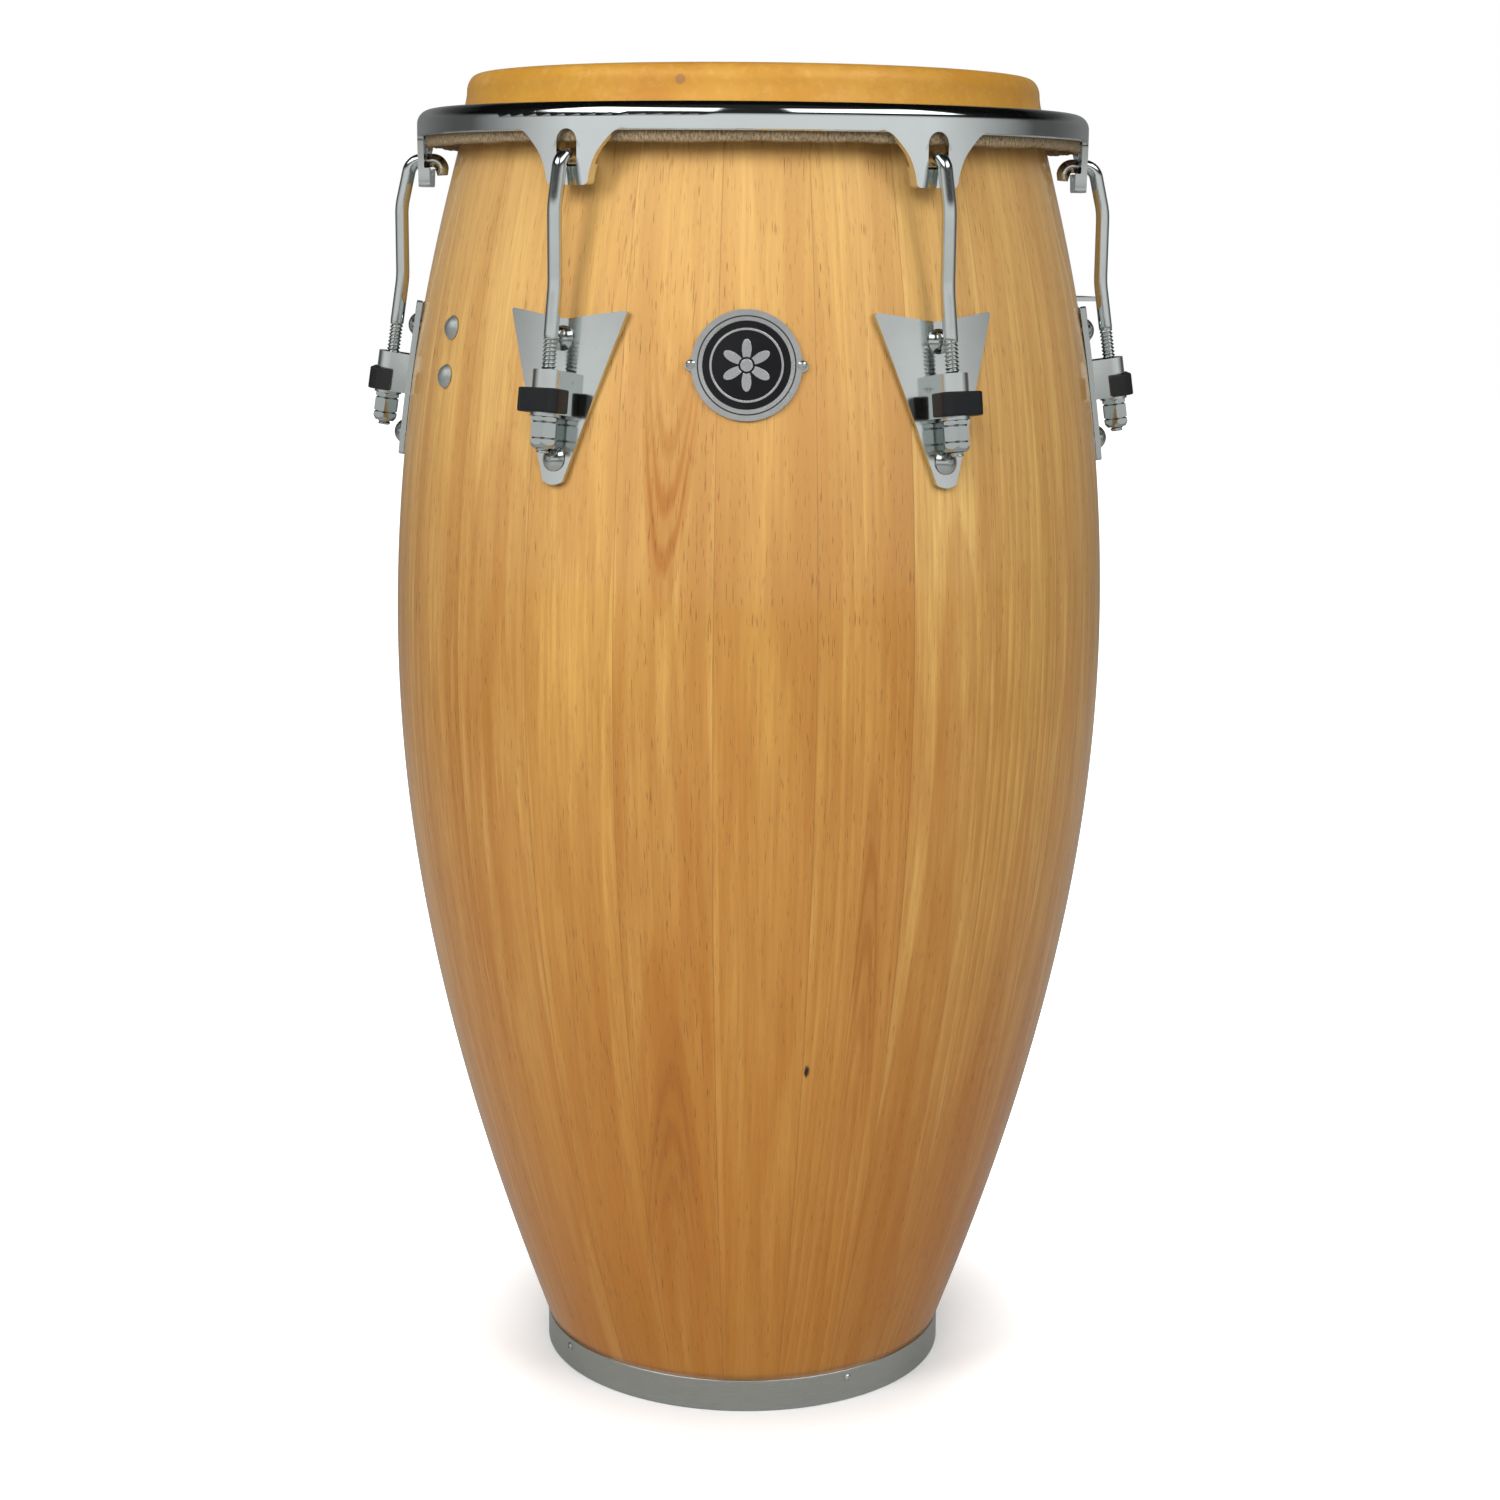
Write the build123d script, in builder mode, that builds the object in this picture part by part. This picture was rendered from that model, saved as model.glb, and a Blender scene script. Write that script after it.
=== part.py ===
"""Conga drum with a staved wooden shell, a rawhide head and six-lug tension hardware.

The origin is the centre of the foot ring on the floor, +Z points up and the badge faces -Y.
Azimuths are measured in degrees from -Y towards +X. All lengths are millimetres.
"""

from build123d import *
from math import atan2, cos, degrees, hypot, radians, sin
import os

# ---------------------------------------------------------------- driving dimensions
HEIGHT = 762.0
WOOD_WALL = 11.5
STAVE_COUNT = 24
STAVE_ARC = 360 / STAVE_COUNT
FIRST_SEAM = -5.0  # azimuth of one glue line, which keeps every bolt inside a stave

# Shell outside, as (z, radius), from the foot ring to just below the bearing edge.
FOOT_TOP = 19.0
SHELL_LINE = [
    (FOOT_TOP, 120.9),
    (120, 154.9),
    (240, 185.5),
    (360, 203.6),
    (480, 206.4),
    (560, 200.4),
    (640, 187.5),
    (725, 167.1),
    (750, 160.4),
]
BEARING_EDGE_Z = 759.3
BEARING_FLAT_OUT = 151.0
BEARING_FLAT_IN = 149.6
WOOD_FOOT_Z = 2.0

SKIN = 2.5
SKIN_GAP = 0.15
COLLAR_END_Z = 737.0
COLLAR_SLOPE = (167.1 - 160.4) / (750 - 725)

FOOT_RING_R = 121.2
FOOT_RING_WALL = 1.6
FOOT_RING_LIP_R = 106.0
FOOT_SCREW_Z = 13.4
FOOT_SCREW_AZIMUTHS = [-59, 31, 121, 211]

RIM_R = 191.5
RIM_TOP_Z = 741.4
RIM_LOW_Z = 726.4
RIM_WALL = 3.5
RIM_LIP_R = 167.4
RIM_ROUND = 8.0
EAR_LOW_Z = 699.0
EAR_SLOT_WIDTH = 12.4
EAR_SLOT_TOP_Z = 727.3
EAR_BAR_TOP_Z = 709.5
EAR_BAR_DEPTH = 6.5
# Half width of an ear at each height, from the rim's edge down to the foot of the ear.
EAR_SIDE = [(32.0, 727.4), (23.0, 721.6), (17.6, 715.2), (15.0, 710), (13.3, 704.5), (12.6, EAR_LOW_Z)]

HOOP_R = 178.6
HOOP_Z = 729.2
HOOP_WIRE = 8.0
TUCK_IN_R = 172.0
TUCK_OUT_R = 187.2
TUCK_LOW_Z = 720.5
TUCK_HIGH_Z = 737.2
TUCK_SLIT = 0.6
TUCK_ROUND = 4.0

LUG_COUNT = 6
FIRST_LUG = -30.0
LUG_TILT = 8.45  # the hardware leans with the shell's upper taper
LUG_FACE_R = 199.8
LUG_FACE_Z = 590.0
PLATE_WALL = 3.0
PLATE_HALF_WIDTH = 36.3
PLATE_CORNER_V = 47.0
PLATE_NOTCH_V = 41.2
PLATE_TIP_V = -45.6
PLATE_TIP_R = 5.5
BOLT_V = 31.3
STIRRUP_AXIS_N = 11.2
STIRRUP_R = 8.0
STIRRUP_WALL = 2.2
STIRRUP_TOP_V = 13.5
STIRRUP_FLOOR_V = -9.0
STIRRUP_FLOOR = 3.0

ROD_R = 3.97
ROD_HOLE_R = 4.35
ROD_TIP_V = -29.2
ROD_TAIL = (178.6, 705.6)
ROD_HOOK_Z = 713.95
ROD_HOOK_IN_R = 179.2
ROD_SHOULDER_R = 196.6
ROD_DROP_R = 202.5
ROD_DROP_Z = 688.0
ROD_BENDS = [5.0, 8.0, 40.0, 60.0]
LUG_WASHER_R = 7.8
LUG_WASHER = 1.4
NUT_FLATS = 12.7
NUT_HEIGHT = 16.2
NUT_BORE_R = 4.03
BUMPER_HALF_WIDTH = 12.4
BUMPER_FRONT_N = 22.0
BUMPER_BACK_N = 9.2
BUMPER_LOW_V = -8.6
BUMPER_HIGH_V = 3.8
FIT_GAP = 0.12
SEAT_GAP = 0.15

BOLT_HEAD_R = 6.6
BOLT_HEAD = 4.3
BOLT_SHANK_R = 3.15
BOLT_HOLE_R = 3.3
BOLT_LENGTH = 26.0
BOLT_NUT_FLATS = 11.0
BOLT_NUT = 5.5
BOLT_WASHER_R = 9.0
BOLT_WASHER = 1.5

SPARE_BOLT_AZIMUTH = -58.3
SPARE_BOLT_HEIGHTS = [622.9, 596.8]
BRACKET_AZIMUTH = 110.0
BRACKET_WALL = 2.4
BRACKET_LIFT = 1.6
BRACKET_HALF_WIDTH = 18.0
BRACKET_TOP_Z = 638.2
BRACKET_LOW_Z = 582.0
BRACKET_REACH_R = 222.0
BRACKET_HOLE_R = 4.25
BRACKET_HOLE_FROM_EDGE = 11.0

BADGE_AZIMUTH = -0.6
BADGE_Z = 609.0
BADGE_R = 28.6
BADGE_WALL = 1.2
BADGE_LIFT = 0.45
BADGE_FIELD_R = 22.8
BADGE_FIELD = 0.6
BADGE_EAR_R = 3.1
PIN_HEAD_R = 2.5
PIN_HEAD = 1.3
PIN_R = 1.2
PIN_HOLE_R = 1.25
PIN_LENGTH = 9.0

# ---------------------------------------------------------------- frames and helpers
TILT_COS = cos(radians(LUG_TILT))
TILT_SIN = sin(radians(LUG_TILT))
LUG_OUT = Vector(0, -TILT_COS, TILT_SIN)
LUG_UP = Vector(0, TILT_SIN, TILT_COS)
LUG_ORIGIN = Vector(0, -LUG_FACE_R, LUG_FACE_Z)
MERIDIAN = Plane(origin=(0, 0, 0), x_dir=(0, -1, 0), z_dir=(-1, 0, 0))
FRONT = Plane(origin=(0, 0, 0), x_dir=(1, 0, 0), z_dir=(0, -1, 0))
LUG_FACE = Plane(origin=LUG_ORIGIN, x_dir=(1, 0, 0), z_dir=LUG_OUT)

with BuildLine() as shell_curve:
    Spline([(r, z) for z, r in SHELL_LINE], tangents=[(0.36, 1), (-0.268, 1)])
CURVE_POINTS = [shell_curve.line @ (i / 400) for i in range(401)]


def shell_radius(z):
    """Outside radius of the wood at height z."""
    for low, high in zip(CURVE_POINTS, CURVE_POINTS[1:]):
        if z <= high.Y:
            return low.X + (high.X - low.X) * (z - low.Y) / (high.Y - low.Y)
    return CURVE_POINTS[-1].X


def lug_point(n, v):
    """(radius, z) of the point n outside the side plate's face and v up along it."""
    return (LUG_FACE_R + n * TILT_COS - v * TILT_SIN, LUG_FACE_Z + n * TILT_SIN + v * TILT_COS)


def lug_section(v):
    """A plane square to the rod's line at height v, its origin on that line, its y inwards."""
    centre = LUG_ORIGIN + LUG_OUT * STIRRUP_AXIS_N + LUG_UP * v
    return Plane(origin=centre, x_dir=(1, 0, 0), z_dir=LUG_UP)


def wood_plane(z, lift=0.0):
    """A plane at azimuth 0 that touches the wood at height z and faces outwards."""
    tilt = atan2(shell_radius(z - 4) - shell_radius(z + 4), 8)
    out = Vector(0, -cos(tilt), sin(tilt))
    return Plane(origin=Vector(0, -shell_radius(z), z) + out * lift, x_dir=(1, 0, 0), z_dir=out)


def moved_up(plane, distance):
    """The same plane with its origin moved along its own y direction."""
    return Plane(plane.origin + plane.y_dir * distance, x_dir=plane.x_dir, z_dir=plane.z_dir)


def depth_to_inside(seat):
    """How far below a bolt's seat the inside face of the wood lies, along the bolt."""
    depth = 0.0
    for _ in range(12):
        point = seat.origin - seat.z_dir * depth
        depth += hypot(point.X, point.Y) - (shell_radius(point.Z) - WOOD_WALL)
    return depth


def turned(shape, azimuths):
    """The shape's solids, turned round the drum's axis to each azimuth."""
    return [solid for a in azimuths for solid in shape.rotate(Axis.Z, a).solids()]


def write(name, shape):
    """Writes one node, a single part or a list of separate solids, as a STEP file."""
    if isinstance(shape, list):
        shape = Compound(children=shape)
    shape.label = name
    export_step(shape, f"parts/{name}.step")


os.makedirs("parts", exist_ok=True)
lug_azimuths = [FIRST_LUG + k * 360 / LUG_COUNT for k in range(LUG_COUNT)]

# Seats of the bolts through the wood, as (azimuth, plane at azimuth 0).
plate_seats = [moved_up(LUG_FACE.offset(SEAT_GAP), side * BOLT_V) for side in (1, -1)]
spare_seats = [wood_plane(z, 2 * SEAT_GAP) for z in SPARE_BOLT_HEIGHTS]
bracket_foot = wood_plane(sum(SPARE_BOLT_HEIGHTS) / 2, BRACKET_LIFT)
bracket_face = bracket_foot.offset(BRACKET_WALL + SEAT_GAP)
half_spacing = (SPARE_BOLT_HEIGHTS[0] - SPARE_BOLT_HEIGHTS[1]) / 2
bracket_seats = [moved_up(bracket_face, side * half_spacing) for side in (1, -1)]
bolt_places = [(a, seat) for a in lug_azimuths for seat in plate_seats]
bolt_places += [(SPARE_BOLT_AZIMUTH, seat) for seat in spare_seats]
bolt_places += [(BRACKET_AZIMUTH, seat) for seat in bracket_seats]

badge_half_angle = degrees(BADGE_R / shell_radius(BADGE_Z))
badge_pin_seat = wood_plane(BADGE_Z, BADGE_LIFT + BADGE_WALL)
foot_pin_seat = FRONT.offset(FOOT_RING_R + 0.05)
foot_pin_seat = moved_up(foot_pin_seat, FOOT_SCREW_Z)
badge_pins = [(BADGE_AZIMUTH + side * badge_half_angle, badge_pin_seat) for side in (-1, 1)]
foot_pins = [(a, foot_pin_seat) for a in FOOT_SCREW_AZIMUTHS]

# ---------------------------------------------------------------- shell staves
rebate_r = FOOT_RING_R - FOOT_RING_WALL - FIT_GAP
with BuildPart() as plain_stave:
    with BuildSketch(MERIDIAN):
        with BuildLine():
            outside = Spline([(r, z) for z, r in SHELL_LINE], tangents=[(0.36, 1), (-0.268, 1)])
            bearing = ThreePointArc(outside @ 1, (157.4, 756.8), (BEARING_FLAT_OUT, BEARING_EDGE_Z))
            flat = Line(bearing @ 1, (BEARING_FLAT_IN, BEARING_EDGE_Z))
            inside = Spline(
                [flat @ 1]
                + [(r - WOOD_WALL, z) for z, r in reversed(SHELL_LINE[1:-1])]
                + [(103.5, WOOD_FOOT_Z)],
                tangents=[(0.1, -1), (-0.36, -1)],
            )
            Polyline(
                inside @ 1,
                (rebate_r - 5.5, WOOD_FOOT_Z),
                (rebate_r, FOOT_TOP - 2),
                (rebate_r, FOOT_TOP),
                outside @ 0,
            )
        make_face()
    revolve(axis=Axis.Z, revolution_arc=STAVE_ARC)

plain = plain_stave.part
middle = plain.center()
plain = plain.rotate(Axis.Z, -degrees(atan2(middle.X, -middle.Y)))
staves = []
for k in range(STAVE_COUNT):
    azimuth = FIRST_SEAM + (k + 0.5) * STAVE_ARC
    with BuildPart() as stave:
        add(plain)
        for places, radius, depth in (bolt_places, BOLT_HOLE_R, 60), (badge_pins + foot_pins, PIN_HOLE_R, 22):
            for place_azimuth, seat in places:
                turn = (place_azimuth - azimuth + 180) % 360 - 180
                if abs(turn) < STAVE_ARC / 2:
                    with Locations(Rot(0, 0, turn) * seat.location):
                        Cylinder(radius, depth, mode=Mode.SUBTRACT)
    staves += stave.part.rotate(Axis.Z, azimuth).solids()
write("shell_staves", staves)

# ---------------------------------------------------------------- foot ring
with BuildPart() as bottom_ring:
    with BuildSketch(MERIDIAN) as ring_section:
        with Locations((FOOT_RING_R - FOOT_RING_WALL / 2, FOOT_TOP / 2)):
            Rectangle(FOOT_RING_WALL, FOOT_TOP)
        with Locations(((FOOT_RING_LIP_R + FOOT_RING_R) / 2, FOOT_RING_WALL / 2)):
            Rectangle(FOOT_RING_R - FOOT_RING_LIP_R, FOOT_RING_WALL)
        fillet(ring_section.vertices().group_by(Axis.X)[-1], 0.7)
    revolve(axis=Axis.Z)
    with PolarLocations(0, len(FOOT_SCREW_AZIMUTHS), start_angle=FOOT_SCREW_AZIMUTHS[0]):
        with Locations(foot_pin_seat.location):
            Cylinder(PIN_HOLE_R, 10, mode=Mode.SUBTRACT)
write("bottom_ring", bottom_ring.part)

# ---------------------------------------------------------------- small pan-head screws
with BuildPart() as pin:
    with BuildSketch(Plane.XZ):
        with BuildLine():
            Polyline((0, PIN_HEAD), (0, -PIN_LENGTH), (PIN_R, 1 - PIN_LENGTH), (PIN_R, 0))
            Polyline((PIN_R, 0), (PIN_HEAD_R, 0), (PIN_HEAD_R, 0.3))
            TangentArc((0, PIN_HEAD), (PIN_HEAD_R, 0.3), tangent=(1, 0))
        make_face()
    revolve(axis=Axis.Z)
    with Locations((0, 0, PIN_HEAD + 0.15)):
        Box(2.6, 0.55, 1.0, mode=Mode.SUBTRACT)
        Box(0.55, 2.6, 1.0, mode=Mode.SUBTRACT)


def placed(shape, places):
    """Copies of a shape made about its own z axis, one at each (azimuth, seat) place."""
    return [
        solid
        for azimuth, seat in places
        for solid in shape.moved(Rot(0, 0, azimuth) * seat.location).solids()
    ]


write("bottom_ring_screws", placed(pin.part, foot_pins))
write("badge_screws", placed(pin.part, badge_pins))

# ---------------------------------------------------------------- badge

def badge_layer(low, high):
    """A band that follows the wood between two lifts off its surface, in front of the badge."""
    tilt = atan2(shell_radius(BADGE_Z - 30) - shell_radius(BADGE_Z + 30), 60)
    out = (cos(tilt), sin(tilt))
    foot_r = shell_radius(BADGE_Z) - 0.1
    ends = [(foot_r + side * out[1] * 45, BADGE_Z - side * out[0] * 45) for side in (1, -1)]
    with BuildPart() as layer:
        with BuildSketch(MERIDIAN):
            with BuildLine():
                Polyline(
                    *[(r + out[0] * low, z + out[1] * low) for r, z in ends],
                    *[(r + out[0] * high, z + out[1] * high) for r, z in reversed(ends)],
                    close=True,
                )
            make_face()
        revolve(axis=Axis.Z, revolution_arc=40)
    centre = layer.part.center()
    return layer.part.rotate(Axis.Z, -degrees(atan2(centre.X, -centre.Y)))


badge_recess = badge_layer(BADGE_LIFT + BADGE_WALL - BADGE_FIELD, 6) & (
    wood_plane(BADGE_Z).location * Cylinder(BADGE_FIELD_R, 60)
)
with BuildPart() as badge_plate:
    add(badge_layer(BADGE_LIFT, BADGE_LIFT + BADGE_WALL))
    with BuildSketch(wood_plane(BADGE_Z)):
        Circle(BADGE_R)
        with Locations((-BADGE_R, 0), (BADGE_R, 0)):
            Circle(BADGE_EAR_R)
    extrude(amount=20, both=True, mode=Mode.INTERSECT)
    add(badge_recess, mode=Mode.SUBTRACT)
    for side in (-1, 1):
        with Locations(Rot(0, 0, side * badge_half_angle) * badge_pin_seat.location):
            Cylinder(PIN_HOLE_R, 10, mode=Mode.SUBTRACT)
with BuildPart() as badge_inlay:
    add(badge_layer(BADGE_LIFT + BADGE_WALL - BADGE_FIELD + 0.02, BADGE_LIFT + BADGE_WALL - 0.1))
    with BuildSketch(wood_plane(BADGE_Z)):
        Circle(BADGE_FIELD_R - 0.05)
    extrude(amount=20, both=True, mode=Mode.INTERSECT)
write("badge_plate", turned(badge_plate.part, [BADGE_AZIMUTH]))
write("badge_inlay", turned(badge_inlay.part, [BADGE_AZIMUTH]))

# ---------------------------------------------------------------- side plates with stirrups
with BuildPart() as plate_blank:
    with BuildSketch(MERIDIAN):
        with BuildLine():
            Polyline(
                lug_point(-PLATE_WALL, -60),
                lug_point(0, -60),
                lug_point(0, 60),
                lug_point(-PLATE_WALL, 60),
                close=True,
            )
        make_face()
    revolve(axis=Axis.Z, revolution_arc=30)
blank = plate_blank.part
middle = blank.center()
blank = blank.rotate(Axis.Z, -degrees(atan2(middle.X, -middle.Y)))
with BuildPart() as side_plate:
    add(blank)
    with BuildSketch(LUG_FACE) as plate_outline:
        with BuildLine():
            Polyline(
                (0, PLATE_NOTCH_V),
                (PLATE_HALF_WIDTH, PLATE_CORNER_V),
                (PLATE_TIP_R + 0.6, PLATE_TIP_V + 2.5),
                (0, PLATE_TIP_V),
                (-PLATE_TIP_R - 0.6, PLATE_TIP_V + 2.5),
                (-PLATE_HALF_WIDTH, PLATE_CORNER_V),
                close=True,
            )
        make_face()
        fillet(plate_outline.vertices().group_by(Axis.Y)[-1], 1.2)
        fillet(plate_outline.vertices().group_by(Axis.Y)[0], 9)
        fillet(plate_outline.vertices().sort_by_distance((0, PLATE_NOTCH_V, 0))[0], 30)
    extrude(amount=20, both=True, mode=Mode.INTERSECT)
    with BuildSketch(lug_section(STIRRUP_FLOOR_V)):
        Circle(STIRRUP_R)
        with Locations((0, (STIRRUP_AXIS_N + 1.5) / 2)):
            Rectangle(2 * STIRRUP_R, STIRRUP_AXIS_N + 1.5)
    extrude(amount=STIRRUP_TOP_V - STIRRUP_FLOOR_V)
    with BuildSketch(lug_section(STIRRUP_FLOOR_V + STIRRUP_FLOOR)):
        Circle(STIRRUP_R - STIRRUP_WALL)
        with Locations((0, (STIRRUP_AXIS_N - 0.02) / 2)):
            Rectangle(2 * (STIRRUP_R - STIRRUP_WALL), STIRRUP_AXIS_N - 0.02)
    extrude(amount=40, mode=Mode.SUBTRACT)
    with BuildSketch(lug_section(STIRRUP_FLOOR_V - 1)):
        Circle(ROD_HOLE_R)
    extrude(amount=10, mode=Mode.SUBTRACT)
    for v in (BOLT_V, -BOLT_V):
        with Locations(Plane(LUG_ORIGIN + LUG_UP * v, x_dir=(1, 0, 0), z_dir=LUG_OUT).location):
            Cylinder(BOLT_HOLE_R, 20, mode=Mode.SUBTRACT)
for k, azimuth in enumerate(lug_azimuths, 1):
    write(f"side_plate_{k}", turned(side_plate.part, [azimuth]))

# ---------------------------------------------------------------- rubber bumpers
with BuildPart() as bumper:
    depth = STIRRUP_AXIS_N - BUMPER_BACK_N
    front = BUMPER_FRONT_N - STIRRUP_AXIS_N
    with BuildSketch(lug_section(BUMPER_LOW_V)) as bumper_outline:
        with Locations((0, (depth - front) / 2)):
            Rectangle(2 * BUMPER_HALF_WIDTH, depth + front)
        fillet(bumper_outline.vertices().group_by(Axis.Y)[0], 4.5)
        Circle(STIRRUP_R + FIT_GAP, mode=Mode.SUBTRACT)
        with Locations((0, 5)):
            Rectangle(2 * (STIRRUP_R + FIT_GAP), 10, mode=Mode.SUBTRACT)
    extrude(amount=BUMPER_HIGH_V - BUMPER_LOW_V)
    fillet(bumper.faces().sort_by(Axis.Z)[0].outer_wire().edges(), 0.9)
    fillet(bumper.faces().sort_by(Axis.Z)[-1].outer_wire().edges(), 0.9)
for k, azimuth in enumerate(lug_azimuths, 1):
    write(f"bumper_{k}", turned(bumper.part, [azimuth]))

# ---------------------------------------------------------------- bolts through the wood
with BuildPart() as bolt:
    with BuildSketch(Plane.XZ):
        with BuildLine():
            Polyline((0, BOLT_HEAD), (0, -BOLT_LENGTH), (BOLT_SHANK_R - 0.6, -BOLT_LENGTH))
            Polyline((BOLT_SHANK_R - 0.6, -BOLT_LENGTH), (BOLT_SHANK_R, 0.6 - BOLT_LENGTH), (BOLT_SHANK_R, 0))
            Polyline((BOLT_SHANK_R, 0), (BOLT_HEAD_R, 0), (BOLT_HEAD_R, 0.5))
            TangentArc((0, BOLT_HEAD), (BOLT_HEAD_R, 0.5), tangent=(1, 0))
        make_face()
    revolve(axis=Axis.Z)
with BuildPart() as bolt_washer:
    Cylinder(BOLT_WASHER_R, BOLT_WASHER, align=(Align.CENTER, Align.CENTER, Align.MAX))
    Cylinder(BOLT_HOLE_R, 4, mode=Mode.SUBTRACT)
with BuildPart() as bolt_nut:
    with BuildSketch():
        RegularPolygon(BOLT_NUT_FLATS / 2, 6, major_radius=False)
        Circle(BOLT_SHANK_R + 0.05, mode=Mode.SUBTRACT)
    extrude(amount=-BOLT_NUT)
write("shell_bolts", placed(bolt.part, bolt_places))
washer_places = [(a, seat.offset(-depth_to_inside(seat) - 0.45)) for a, seat in bolt_places]
write("shell_bolt_washers", placed(bolt_washer.part, washer_places))
nut_places = [(a, seat.offset(-BOLT_WASHER - 0.02)) for a, seat in washer_places]
write("shell_bolt_nuts", placed(bolt_nut.part, nut_places))

# ---------------------------------------------------------------- stand bracket
low, high = [
    moved_up(bracket_foot, (z - bracket_foot.origin.Z) / bracket_foot.y_dir.Z).origin
    for z in (BRACKET_LOW_Z, BRACKET_TOP_Z)
]
with BuildPart() as stand_bracket:
    with BuildSketch(MERIDIAN) as bracket_section:
        with BuildLine() as bracket_line:
            Polyline((-low.Y, low.Z), (-high.Y, high.Z), (BRACKET_REACH_R, BRACKET_TOP_Z))
            offset(amount=BRACKET_WALL, side=Side.RIGHT)
        make_face()
    extrude(amount=BRACKET_HALF_WIDTH, both=True)
    with Locations((0, -BRACKET_REACH_R + BRACKET_HOLE_FROM_EDGE, BRACKET_TOP_Z)):
        Cylinder(BRACKET_HOLE_R, 12, mode=Mode.SUBTRACT)
    for seat in bracket_seats:
        with Locations(seat.location):
            Cylinder(BOLT_HOLE_R, 20, mode=Mode.SUBTRACT)
    fillet(stand_bracket.edges().filter_by(Axis.Z).group_by(Axis.Y)[0], 8)
write("stand_bracket", turned(stand_bracket.part, [BRACKET_AZIMUTH]))

# ---------------------------------------------------------------- head
with BuildPart() as head_skin:
    gap, outer = SKIN_GAP, SKIN_GAP + SKIN
    drop = 750 - COLLAR_END_Z
    with BuildSketch(MERIDIAN):
        with BuildLine():
            Line((0, BEARING_EDGE_Z + gap), (151.0, BEARING_EDGE_Z + gap))
            ThreePointArc((151.0, BEARING_EDGE_Z + gap), (157.55, 756.95), (160.4 + gap, 750))
            Line((160.4 + gap, 750), (160.4 + gap + COLLAR_SLOPE * drop, COLLAR_END_Z))
            Line(
                (160.4 + gap + COLLAR_SLOPE * drop, COLLAR_END_Z),
                (160.4 + outer + COLLAR_SLOPE * drop, COLLAR_END_Z),
            )
            Line((160.4 + outer + COLLAR_SLOPE * drop, COLLAR_END_Z), (160.4 + outer, 750))
            ThreePointArc((160.4 + outer, 750), (159.3, 758.9), (151.0, HEIGHT))
            Polyline((151.0, HEIGHT), (0, HEIGHT), (0, BEARING_EDGE_Z + gap))
        make_face()
    revolve(axis=Axis.Z)
write("head_skin", head_skin.part)

with BuildPart() as flesh_hoop:
    with BuildSketch(MERIDIAN):
        with Locations((HOOP_R, HOOP_Z)):
            Circle(HOOP_WIRE / 2)
    revolve(axis=Axis.Z)
write("flesh_hoop", flesh_hoop.part)

with BuildPart() as hide_tuck:
    with BuildSketch(MERIDIAN) as tuck_section:
        with Locations(((TUCK_IN_R + TUCK_OUT_R) / 2, (TUCK_LOW_Z + TUCK_HIGH_Z) / 2)):
            Rectangle(TUCK_OUT_R - TUCK_IN_R, TUCK_HIGH_Z - TUCK_LOW_Z)
        fillet(tuck_section.vertices().sort_by(lambda corner: corner.X + corner.Y)[:-1], 2.5)
        fillet(tuck_section.vertices().sort_by(lambda corner: corner.X + corner.Y)[-1], TUCK_ROUND)
        with Locations((HOOP_R, HOOP_Z)):
            Circle(HOOP_WIRE / 2 + 0.1, mode=Mode.SUBTRACT)
        with Locations((HOOP_R, HOOP_Z - 8)):
            Rectangle(TUCK_SLIT, 10, mode=Mode.SUBTRACT)
    revolve(axis=Axis.Z)
write("hide_tuck", hide_tuck.part)

# ---------------------------------------------------------------- crown rim
with BuildPart() as ear:
    with BuildSketch(MERIDIAN):
        with BuildLine():
            Polyline(
                (RIM_R - RIM_WALL, RIM_LOW_Z + 2),
                (RIM_R, RIM_LOW_Z + 2),
                (RIM_R, EAR_LOW_Z),
                (RIM_R - EAR_BAR_DEPTH, EAR_LOW_Z),
                (RIM_R - EAR_BAR_DEPTH, EAR_BAR_TOP_Z),
                (RIM_R - RIM_WALL, EAR_BAR_TOP_Z),
                close=True,
            )
        make_face()
    revolve(axis=Axis.Z, revolution_arc=30)
ear_blank = ear.part
middle = ear_blank.center()
ear_blank = ear_blank.rotate(Axis.Z, -degrees(atan2(middle.X, -middle.Y)))
with BuildPart() as rim_ear:
    add(ear_blank)
    with BuildSketch(FRONT) as ear_outline:
        with BuildLine():
            right = Spline(EAR_SIDE, tangents=[(-1, -0.15), (-0.08, -1)])
            left = Spline([(-u, z) for u, z in EAR_SIDE], tangents=[(1, -0.15), (0.08, -1)])
            Line(right @ 1, left @ 1)
            Line(right @ 0, left @ 0)
        make_face()
        fillet(ear_outline.vertices().group_by(Axis.Y)[0], 3)
    extrude(amount=230, mode=Mode.INTERSECT)
    with BuildSketch(FRONT):
        with Locations((0, (EAR_SLOT_TOP_Z + EAR_BAR_TOP_Z - EAR_SLOT_WIDTH / 2) / 2)):
            Rectangle(EAR_SLOT_WIDTH, EAR_SLOT_TOP_Z - EAR_BAR_TOP_Z - EAR_SLOT_WIDTH / 2)
        with Locations((0, EAR_SLOT_TOP_Z - EAR_SLOT_WIDTH / 2)):
            Circle(EAR_SLOT_WIDTH / 2)
    extrude(amount=230, mode=Mode.SUBTRACT)
    with BuildSketch(MERIDIAN) as bar_corners:
        with Locations((RIM_R - EAR_BAR_DEPTH / 2, EAR_BAR_TOP_Z - 1.5)):
            Rectangle(EAR_BAR_DEPTH + 4, 4.2)
        with Locations((RIM_R - EAR_BAR_DEPTH / 2, EAR_BAR_TOP_Z - 6)):
            RectangleRounded(EAR_BAR_DEPTH, 12, 2.2, mode=Mode.SUBTRACT)
    extrude(amount=EAR_SLOT_WIDTH / 2, both=True, mode=Mode.SUBTRACT)

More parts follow.
